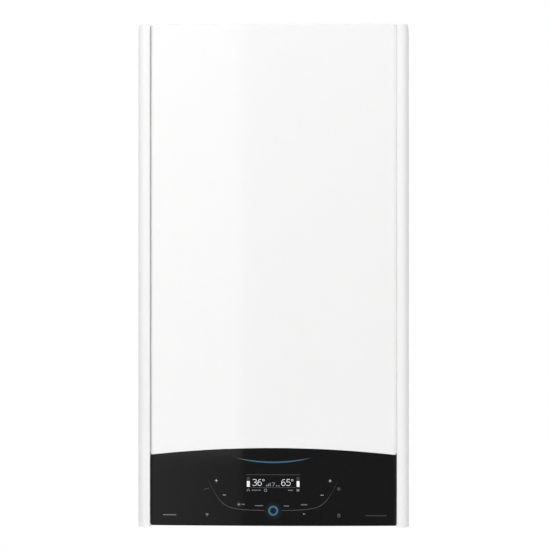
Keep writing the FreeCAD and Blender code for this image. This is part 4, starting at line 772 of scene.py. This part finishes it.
touchSigns = {"plusAt": (83.7, 68.2), "plusReach": 2.2, "plusHalf": 0.28,
              "minusAt": (71.8, 47.2), "minusReach": 2.4, "minusHalf": 0.24}
touchLabels = {
    "sunAt": (-50.4, 33.4), "sunRadius": 1.5, "sunRays": (2.1, 2.9), "lineWidth": 0.5,
    "ticks": ((-46.4, -41.8, 33.6), (-27.0, -14.4, 31.7), (16.0, 23.6, 31.3), (41.0, 50.4, 33.2)),
    "tickHeight": 1.5,
    "leftRow": (-162.6, -142.8, 17.5), "rowPitch": 1.7, "rowWidth": 1.25,
    "arrow": [(44.0, 18.3), (48.0, 19.6), (44.0, 20.9)],
    "waveAt": (-97.4, 16.3), "waveRadii": (1.3, 2.4, 3.5), "waveWidth": 0.65, "waveDot": 0.6,
    "waveArc": {"start": 45, "sweep": 90, "count": 10},
    "lock": [(94.9, 15.1), (98.2, 15.1), (98.2, 18.2), (94.9, 18.2)],
    "bowAt": (96.55, 18.4), "bowRadius": 1.3, "bowWidth": 0.45, "bowArc": {"sweep": 180, "count": 12},
}
touchOutline = {
    "curve": [(-95.1, 68.7), (-88.0, 53.8), (-80.9, 42.6), (-73.8, 34.8), (-64.1, 29.2), (-50.0, 26.4),
              (-35.8, 25.3), (-13.0, 24.6)],
    "thin": 0.12, "swell": 0.85, "swellRate": 2.2,
    "squiggle": [(-101.6, 54.6), (-99.4, 56.2), (-96.6, 56.4), (-94.4, 57.4)], "squiggleWidth": 0.9,
    "sunAt": (96.5, 56.5), "sunRadius": 1.1, "ringRadius": 1.5, "ringWidth": 0.9, "ringSteps": 18,
    "sunRays": (1.9, 2.8), "rayWidth": 0.8,
    "rightRow": (136.0, 167.4, 16.9), "rowHeight": 1.4, "rowPitch": 1.7, "rowWidth": 1.2,
}


def fasciaSigns():
    facts = touchSigns
    bright = SignSheet("touchSigns", lightOf["signWhite"])
    for side in (-1, 1):
        reach, half = facts["plusReach"], facts["plusHalf"]
        x, z = side * facts["plusAt"][0], facts["plusAt"][1]
        bright.bar((x - reach, z - half), (x + reach, z + half))
        bright.bar((x - half, z + half), (x + half, z + reach))
        bright.bar((x - half, z - reach), (x + half, z - half))
        reach, half = facts["minusReach"], facts["minusHalf"]
        x, z = side * facts["minusAt"][0], facts["minusAt"][1]
        bright.bar((x - reach, z - half), (x + reach, z + half))
    bright.finish("white_moulding")

    facts = touchLabels
    label = SignSheet("touchLabels", lightOf["labelGrey"])
    label.disc(facts["sunAt"], facts["sunRadius"])
    label.rays(facts["sunAt"], facts["sunRays"], facts["lineWidth"])
    for left, right, z in facts["ticks"]:
        label.ticks(left, right, z, facts["tickHeight"])
    label.ticks(*facts["leftRow"], facts["tickHeight"], facts["rowPitch"], facts["rowWidth"])
    label.face(facts["arrow"])
    for radius in facts["waveRadii"]:
        label.ring(facts["waveAt"], radius, facts["waveWidth"], **facts["waveArc"])
    label.disc(facts["waveAt"], facts["waveDot"])
    label.stroke(facts["lock"], facts["lineWidth"], closed=True)
    label.ring(facts["bowAt"], facts["bowRadius"], facts["bowWidth"], **facts["bowArc"])
    label.finish("white_moulding")

    facts = touchOutline
    dim = SignSheet("touchOutline", lightOf["dimGrey"])
    for side in (-1, 1):
        dim.stroke(smoothed([(side * -x, z) for x, z in facts["curve"]]),
                   lambda t: facts["thin"] + facts["swell"] * min(1, t * facts["swellRate"]))
    dim.stroke(smoothed(facts["squiggle"]), facts["squiggleWidth"])
    dim.disc(facts["sunAt"], facts["sunRadius"])
    dim.ring(facts["sunAt"], facts["ringRadius"], facts["ringWidth"], count=facts["ringSteps"])
    dim.rays(facts["sunAt"], facts["sunRays"], facts["rayWidth"])
    dim.ticks(*facts["rightRow"], facts["rowHeight"], facts["rowPitch"], facts["rowWidth"])
    dim.finish("grey_moulding")


statusLight = {"half": 58.5, "low": 95.5, "rise": 7.3, "thin": 0.25, "width": 2.1, "fullness": 0.8,
               "steps": 40, "middle": (0.040, 0.118, 0.190), "end": (0.060, 0.122, 0.148),
               "shoulder": 0.72}
# the halo entries give a painted glow: light from the key ring painted onto the black fascia around it
keyGlow = {"ring": (0.058, 0.140, 0.178), "ringReach": 8.2, "ringShoulder": 0.86,
           "haloMiddle": (0.004, 0.012, 0.020), "haloEnd": (0.0015, 0.004, 0.008), "haloReach": 13.5,
           "haloRadius": 10.4, "haloWidth": 5.6, "haloSteps": 40, "haloLift": -0.04}


def fasciaLights():
    arc = statusLight
    glow = fadingGlow("statusBlue", arc["middle"], arc["end"], arc["half"] * mm, squeeze=(1, 0, 0),
                      shoulderAt=arc["shoulder"])
    light = SignSheet("statusLight", glow)
    shares = [2 * step / arc["steps"] - 1 for step in range(arc["steps"] + 1)]
    light.stroke([(arc["half"] * share, arc["low"] + arc["rise"] * share * share) for share in shares],
                 lambda t: arc["thin"] + arc["width"] * (1 - (2 * t - 1) ** 2) ** arc["fullness"])
    light.finish("key_light")

    key = keyGlow
    keyLow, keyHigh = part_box("key_ring")
    middle = (0, 0, (keyLow.z + keyHigh.z) / 2)
    dress("key_ring", fadingGlow("keyTeal", key["ring"], key["ring"], key["ringReach"] * mm, centre=middle,
                                 squeeze=(1, 0, 1), shoulderAt=key["ringShoulder"]))
    # painted glow: emission on a ring sheet just over the fascia, fading outwards from the lit key ring
    halo = fadingGlow("keyHalo", key["haloMiddle"], key["haloEnd"], key["haloReach"] * mm, centre=middle,
                      squeeze=(1, 0, 1))
    around = SignSheet("keyHaloRing", halo)
    haloAt = (0, middle[2] / mm - fascia["foot"])
    around.ring(haloAt, key["haloRadius"], key["haloWidth"], count=key["haloSteps"])
    around.finish("black_gloss", key["haloLift"])


displaySigns()
fasciaSigns()
fasciaLights()
print("fascia signs placed")


# what repeats: screws, union nuts and motor slots, made by geometry nodes; the cross recesses of the screws
# and the motor slot holes are dark blocks, painted shade
def newTree(name, sizes):
    tree = bpy.data.node_groups.new(name, "GeometryNodeTree")
    tree.interface.new_socket("Geometry", in_out="INPUT", socket_type="NodeSocketGeometry")
    for label, value in sizes.items():
        socket = tree.interface.new_socket(label, in_out="INPUT", socket_type=floatKind)
        socket.default_value = value
    for label in ("Head Finish", "Painted Shade And Washer Finish"):
        tree.interface.new_socket(label, in_out="INPUT", socket_type="NodeSocketMaterial")
    tree.interface.new_socket("Geometry", in_out="OUTPUT", socket_type="NodeSocketGeometry")
    return tree, tree.nodes.new("NodeGroupInput").outputs


def scaled(tree, socket, factor):
    return addMath(tree, "MULTIPLY", socket, factor)


def lifted(tree, mesh, height):
    lift = addNode(tree, "ShaderNodeCombineXYZ", {"Z": height}).outputs[0]
    moved = addNode(tree, "GeometryNodeTransform", {"Geometry": mesh, "Translation": lift})
    return moved.outputs["Geometry"]


def addRing(tree, sides, reach, height, shares):
    low, high, depth, lift = shares
    cone = addNode(tree, "GeometryNodeMeshCone", {
        "Vertices": sides, "Depth": scaled(tree, height, depth),
        "Radius Bottom": scaled(tree, reach, low), "Radius Top": scaled(tree, reach, high)})
    return lifted(tree, cone.outputs["Mesh"], scaled(tree, height, lift))


def addBlock(tree, sizes):
    size = addNode(tree, "ShaderNodeCombineXYZ", dict(enumerate(sizes))).outputs[0]
    return addNode(tree, "GeometryNodeMeshCube", {"Size": size}).outputs["Mesh"]


# faces marked here get the dark second finish: on screws and motor slots it is painted shade standing for a
# recess or a hole, on union nuts it is the real washer below the nut
def markedDark(tree, geometry):
    store = addNode(tree, "GeometryNodeStoreNamedAttribute", {}, dataType="BOOLEAN")
    store.domain = "FACE"
    plugAll(tree, store, {"Geometry": geometry, "Name": "painted_shade_and_washer", "Value": True})
    return store.outputs["Geometry"]


def placeAll(tree, given, shapes):
    join = tree.nodes.new("GeometryNodeJoinGeometry")
    for shape in shapes:
        tree.links.new(shape, join.inputs["Geometry"])
    facing = addNode(tree, "GeometryNodeInputNamedAttribute", {"Name": "facing"}, dataType="FLOAT_VECTOR")
    turn = addNode(tree, "FunctionNodeAlignRotationToVector", {"Vector": facing.outputs["Attribute"]})
    turn.axis = "Z"
    scatter = addNode(tree, "GeometryNodeInstanceOnPoints", {
        "Points": given["Geometry"], "Instance": join.outputs["Geometry"],
        "Rotation": turn.outputs["Rotation"]})
    real = addNode(tree, "GeometryNodeRealizeInstances", {"Geometry": scatter.outputs["Instances"]})
    heads = addNode(tree, "GeometryNodeSetMaterial", {
        "Geometry": real.outputs["Geometry"], "Material": given["Head Finish"]})
    chosen = addNode(tree, "GeometryNodeInputNamedAttribute", {"Name": "painted_shade_and_washer"}, dataType="BOOLEAN")
    shadeAndWasherFaces = addNode(tree, "GeometryNodeSetMaterial", {
        "Geometry": heads.outputs["Geometry"], "Selection": chosen.outputs["Attribute"],
        "Material": given["Painted Shade And Washer Finish"]})
    addNode(tree, "NodeGroupOutput", {"Geometry": shadeAndWasherFaces.outputs["Geometry"]})


# shares of a ring: lower radius, upper radius, depth and lift
screwShares = {"sides": 24, "washer": (1.25, 1.2, 0.22, 0.0), "rim": (1.0, 1.0, 0.55, 0.0),
               "crown": (1.0, 0.62, 0.4, 0.55), "slotLong": 1.05, "slotShort": 0.24, "slotDeep": 0.22,
               "slotLift": 0.87}


def screwTree():
    tree, given = newTree("crossHeadScrews", {"Head Radius": 0.0035, "Head Height": 0.0018})
    facts, radius, height = screwShares, given["Head Radius"], given["Head Height"]
    shapes = []
    for name in ("washer", "rim", "crown"):
        shapes.append(addRing(tree, facts["sides"], radius, height, facts[name]))
    long, short = scaled(tree, radius, facts["slotLong"]), scaled(tree, radius, facts["slotShort"])
    deep, lift = scaled(tree, height, facts["slotDeep"]), scaled(tree, height, facts["slotLift"])
    # the cross recess is a raised dark block on the crown, painted shade
    for sizes in ((long, short, deep), (short, long, deep)):
        shapes.append(markedDark(tree, lifted(tree, addBlock(tree, sizes), lift)))
    placeAll(tree, given, shapes)
    return tree


nutShares = {"corner": 0.577, "flat": 0.5, "hexSides": 6, "roundSides": 28,
             "skirt": (0.9, 1.0, 0.12, 0.0), "body": (1.0, 1.0, 0.64, 0.12),
             "shoulder": (1.0, 0.9, 0.12, 0.76), "collar": (0.92, 0.8, 0.26, 0.88),
             "washer": (1.0, 1.0, 0.1, -0.1)}


def nutTree():
    tree, given = newTree("unionNuts", {"Flats": 0.024, "Height": 0.014})
    facts, height = nutShares, given["Height"]
    corner, flat = scaled(tree, given["Flats"], facts["corner"]), scaled(tree, given["Flats"], facts["flat"])
    shapes = []
    for name in ("skirt", "body", "shoulder"):
        shapes.append(addRing(tree, facts["hexSides"], corner, height, facts[name]))
    shapes.append(addRing(tree, facts["roundSides"], flat, height, facts["collar"]))
    shapes.append(markedDark(tree, addRing(tree, facts["roundSides"], flat, height, facts["washer"])))
    placeAll(tree, given, shapes)
    return tree


slotShares = {"frameWidth": 1.8, "frameDepth": 0.35, "frameLength": 1.12, "holeDepth": 0.5}


def slotTree():
    tree, given = newTree("coolingSlots", {"Length": 0.009, "Width": 0.0022})
    facts, length, width = slotShares, given["Length"], given["Width"]
    rim = addBlock(tree, (scaled(tree, width, facts["frameWidth"]), scaled(tree, width, facts["frameDepth"]),
                          scaled(tree, length, facts["frameLength"])))
    # the slot opening is a dark block, painted shade for the hole
    hole = addBlock(tree, (width, scaled(tree, width, facts["holeDepth"]), length))
    placeAll(tree, given, [rim, markedDark(tree, hole)])
    return tree


def scatterPiece(name, tree, places, values, body):
    points = bpy.data.meshes.new(name)
    points.from_pydata([Vector(at) * mm for at, facing in places], [], [])
    facings = points.attributes.new("facing", "FLOAT_VECTOR", "POINT")
    for item, (at, facing) in zip(facings.data, places):
        item.vector = facing
    holder = bpy.data.objects.new(name + "Points", points)
    scene.collection.objects.link(holder)
    modifier = holder.modifiers.new("places", "NODES")
    modifier.node_group = tree
    for item in tree.interface.items_tree:
        if item.item_type == "SOCKET" and item.in_out == "INPUT" and item.name in values:
            modifier[item.identifier] = values[item.name]
    bpy.context.view_layer.update()
    graph = bpy.context.evaluated_depsgraph_get()
    evaluated = holder.evaluated_get(graph)
    solid = bpy.data.meshes.new_from_object(evaluated, preserve_all_data_layers=True, depsgraph=graph)
    bpy.data.objects.remove(holder)
    for mark in [item.name for item in solid.attributes if item.name in ("facing", "painted_shade_and_washer")]:
        solid.attributes.remove(solid.attributes[mark])
    newPiece(name, solid, body)


up, down, forward, back = (0, 0, 1), (0, 0, -1), (0, -1, 0), (0, 1, 0)
leftAndRight = (-1, 1)


def circlePlaces(centre, radius, count, start):
    places = []
    for step in range(count):
        angle = start + 2 * math.pi * step / count
        at = (centre[0] + radius * math.cos(angle), centre[1], centre[2] + radius * math.sin(angle))
        places.append((at, forward))
    return places


def edges(node):
    return [[value / mm for value in corner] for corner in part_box(node)]


# places in millimetres, head sizes in metres; a ring of screws has a radius, a count and a start
chassisScrews = {
    "caseX": 189, "roofTop": 46.0, "roofY": (-255, -150, -45), "rearZ": (35, -130, -300, -470, -640),
    "hangerX": (-150, -90, -30, 30, 90, 150), "hangerY": -12.0, "hangerRise": 4.2,
    "railX": 187, "railY": (-100, -30),
    "head": {"Head Radius": 0.0032, "Head Height": 0.0016},
}
innerScrews = {
    "fanZ": -334.0, "motorRing": (27, 3, math.pi / 2),
    "housingRing": (47.5, 6, math.pi / 6), "housingY": -288.0,
    "pumpX": 110.0, "pumpZ": -520.0, "pumpRing": (30, 4, math.pi / 4),
    "valveX": 58.0, "valveHalf": 28, "valveStep": 24.0, "valveDrop": 8, "valveLow": -490.0,
    "diverterX": -134.0, "diverterHalf": 14, "diverterY": -70.0,
    "head": {"Head Radius": 0.0026, "Head Height": 0.0015},
    "bleedHead": {"Head Radius": 0.0085, "Head Height": 0.003},
}
trayScrews = {"x": (60, 150), "y": (-285, -226), "head": {"Head Radius": 0.0028, "Head Height": 0.0012}}


def makeScrews():
    screws = screwTree()
    # rubber on the cross recesses is painted shade
    steel = {"Head Finish": finishOf["steel_bracket"], "Painted Shade And Washer Finish": finishOf["rubber"]}
    facts = chassisScrews
    rear = edges("right_side_panel")[1][1]
    hangerZ = edges("hanger_rail")[0][2] + facts["hangerRise"]
    railZ = edges("pipe_rail")[0][2]
    outer = [((side * facts["caseX"], y, facts["roofTop"]), up)
             for side in leftAndRight for y in facts["roofY"]]
    outer += [((side * facts["caseX"], rear, z), back) for side in leftAndRight for z in facts["rearZ"]]
    outer += [((x, facts["hangerY"], hangerZ), back) for x in facts["hangerX"]]
    outer += [((side * facts["railX"], y, railZ), down) for side in leftAndRight for y in facts["railY"]]
    scatterPiece("chassisScrews", screws, outer, {**steel, **facts["head"]}, "chassis")

    facts = innerScrews
    fan, valve = edges("fan_motor"), edges("gas_valve")
    fanX = (fan[0][0] + fan[1][0]) / 2
    pumpMiddle = (facts["pumpX"], edges("pump_motor")[0][1], facts["pumpZ"])
    inner = circlePlaces((fanX, fan[0][1], facts["fanZ"]), *facts["motorRing"])
    inner += circlePlaces((fanX, facts["housingY"], facts["fanZ"]), *facts["housingRing"])
    inner += circlePlaces(pumpMiddle, *facts["pumpRing"])
    valveZ = (valve[1][2] - facts["valveDrop"], facts["valveLow"])
    inner += [((facts["valveX"] + side * facts["valveHalf"], valve[0][1] + facts["valveStep"], z), forward)
              for side in leftAndRight for z in valveZ]
    motorTop = edges("diverter_motor")[1][2]
    inner += [((facts["diverterX"] + side * facts["diverterHalf"], facts["diverterY"], motorTop), up)
              for side in leftAndRight]
    scatterPiece("innerScrews", screws, inner, {**steel, **facts["head"]}, "chassis")
    bleed = {**steel, **facts["bleedHead"]}
    scatterPiece("pumpBleedScrew", screws, [(pumpMiddle, forward)], bleed, "chassis")

    facts = trayScrews
    trayLow = edges("control_tray")[0][2]
    under = [((side * x, y, trayLow), down) for side in leftAndRight for x in facts["x"] for y in facts["y"]]
    scatterPiece("trayScrews", screws, under, {**steel, **facts["head"]}, "control_box")


pipeNuts = {
    "places": [((-86, -70, -553), up), ((84, -70, -466), up), ((-86, -230.5, -280), down),
               ((86, -126, -280), down), ((0, -70, -617), up), ((58, -230, -510), down)],
    "size": {"Flats": 0.025, "Height": 0.014},
}
vesselNuts = {
    "places": [((0, -55.2, -392), down), ((-58, -70, -586), up)],
    "size": {"Flats": 0.019, "Height": 0.011},
}


def makeNuts():
    nuts = nutTree()
    # rubber here is the washer below each nut
    finish = {"Head Finish": finishOf["brass"], "Painted Shade And Washer Finish": finishOf["rubber"]}
    for name, facts in (("pipeNuts", pipeNuts), ("vesselNuts", vesselNuts)):
        scatterPiece(name, nuts, facts["places"], {**finish, **facts["size"]}, "chassis")


fanMotorSlots = {"middle": (58, -308, -334), "ring": 17, "count": 14,
                 "size": {"Length": 0.009, "Width": 0.0022}}


def makeSlots():
    facts = fanMotorSlots
    # rubber in the slot holes is painted shade
    finish = {"Head Finish": finishOf["black_moulding"], "Painted Shade And Washer Finish": finishOf["rubber"]}
    places = []
    for step in range(facts["count"]):
        angle = math.pi * (2 * step + 1) / facts["count"]
        out = Vector((math.cos(angle), 0, math.sin(angle)))
        places.append((Vector(facts["middle"]) + out * facts["ring"], out))
    values = {**finish, **facts["size"]}
    scatterPiece("fanMotorSlots", slotTree(), places, values, "chassis")


makeScrews()
makeNuts()
makeSlots()
print("repeated fittings placed")
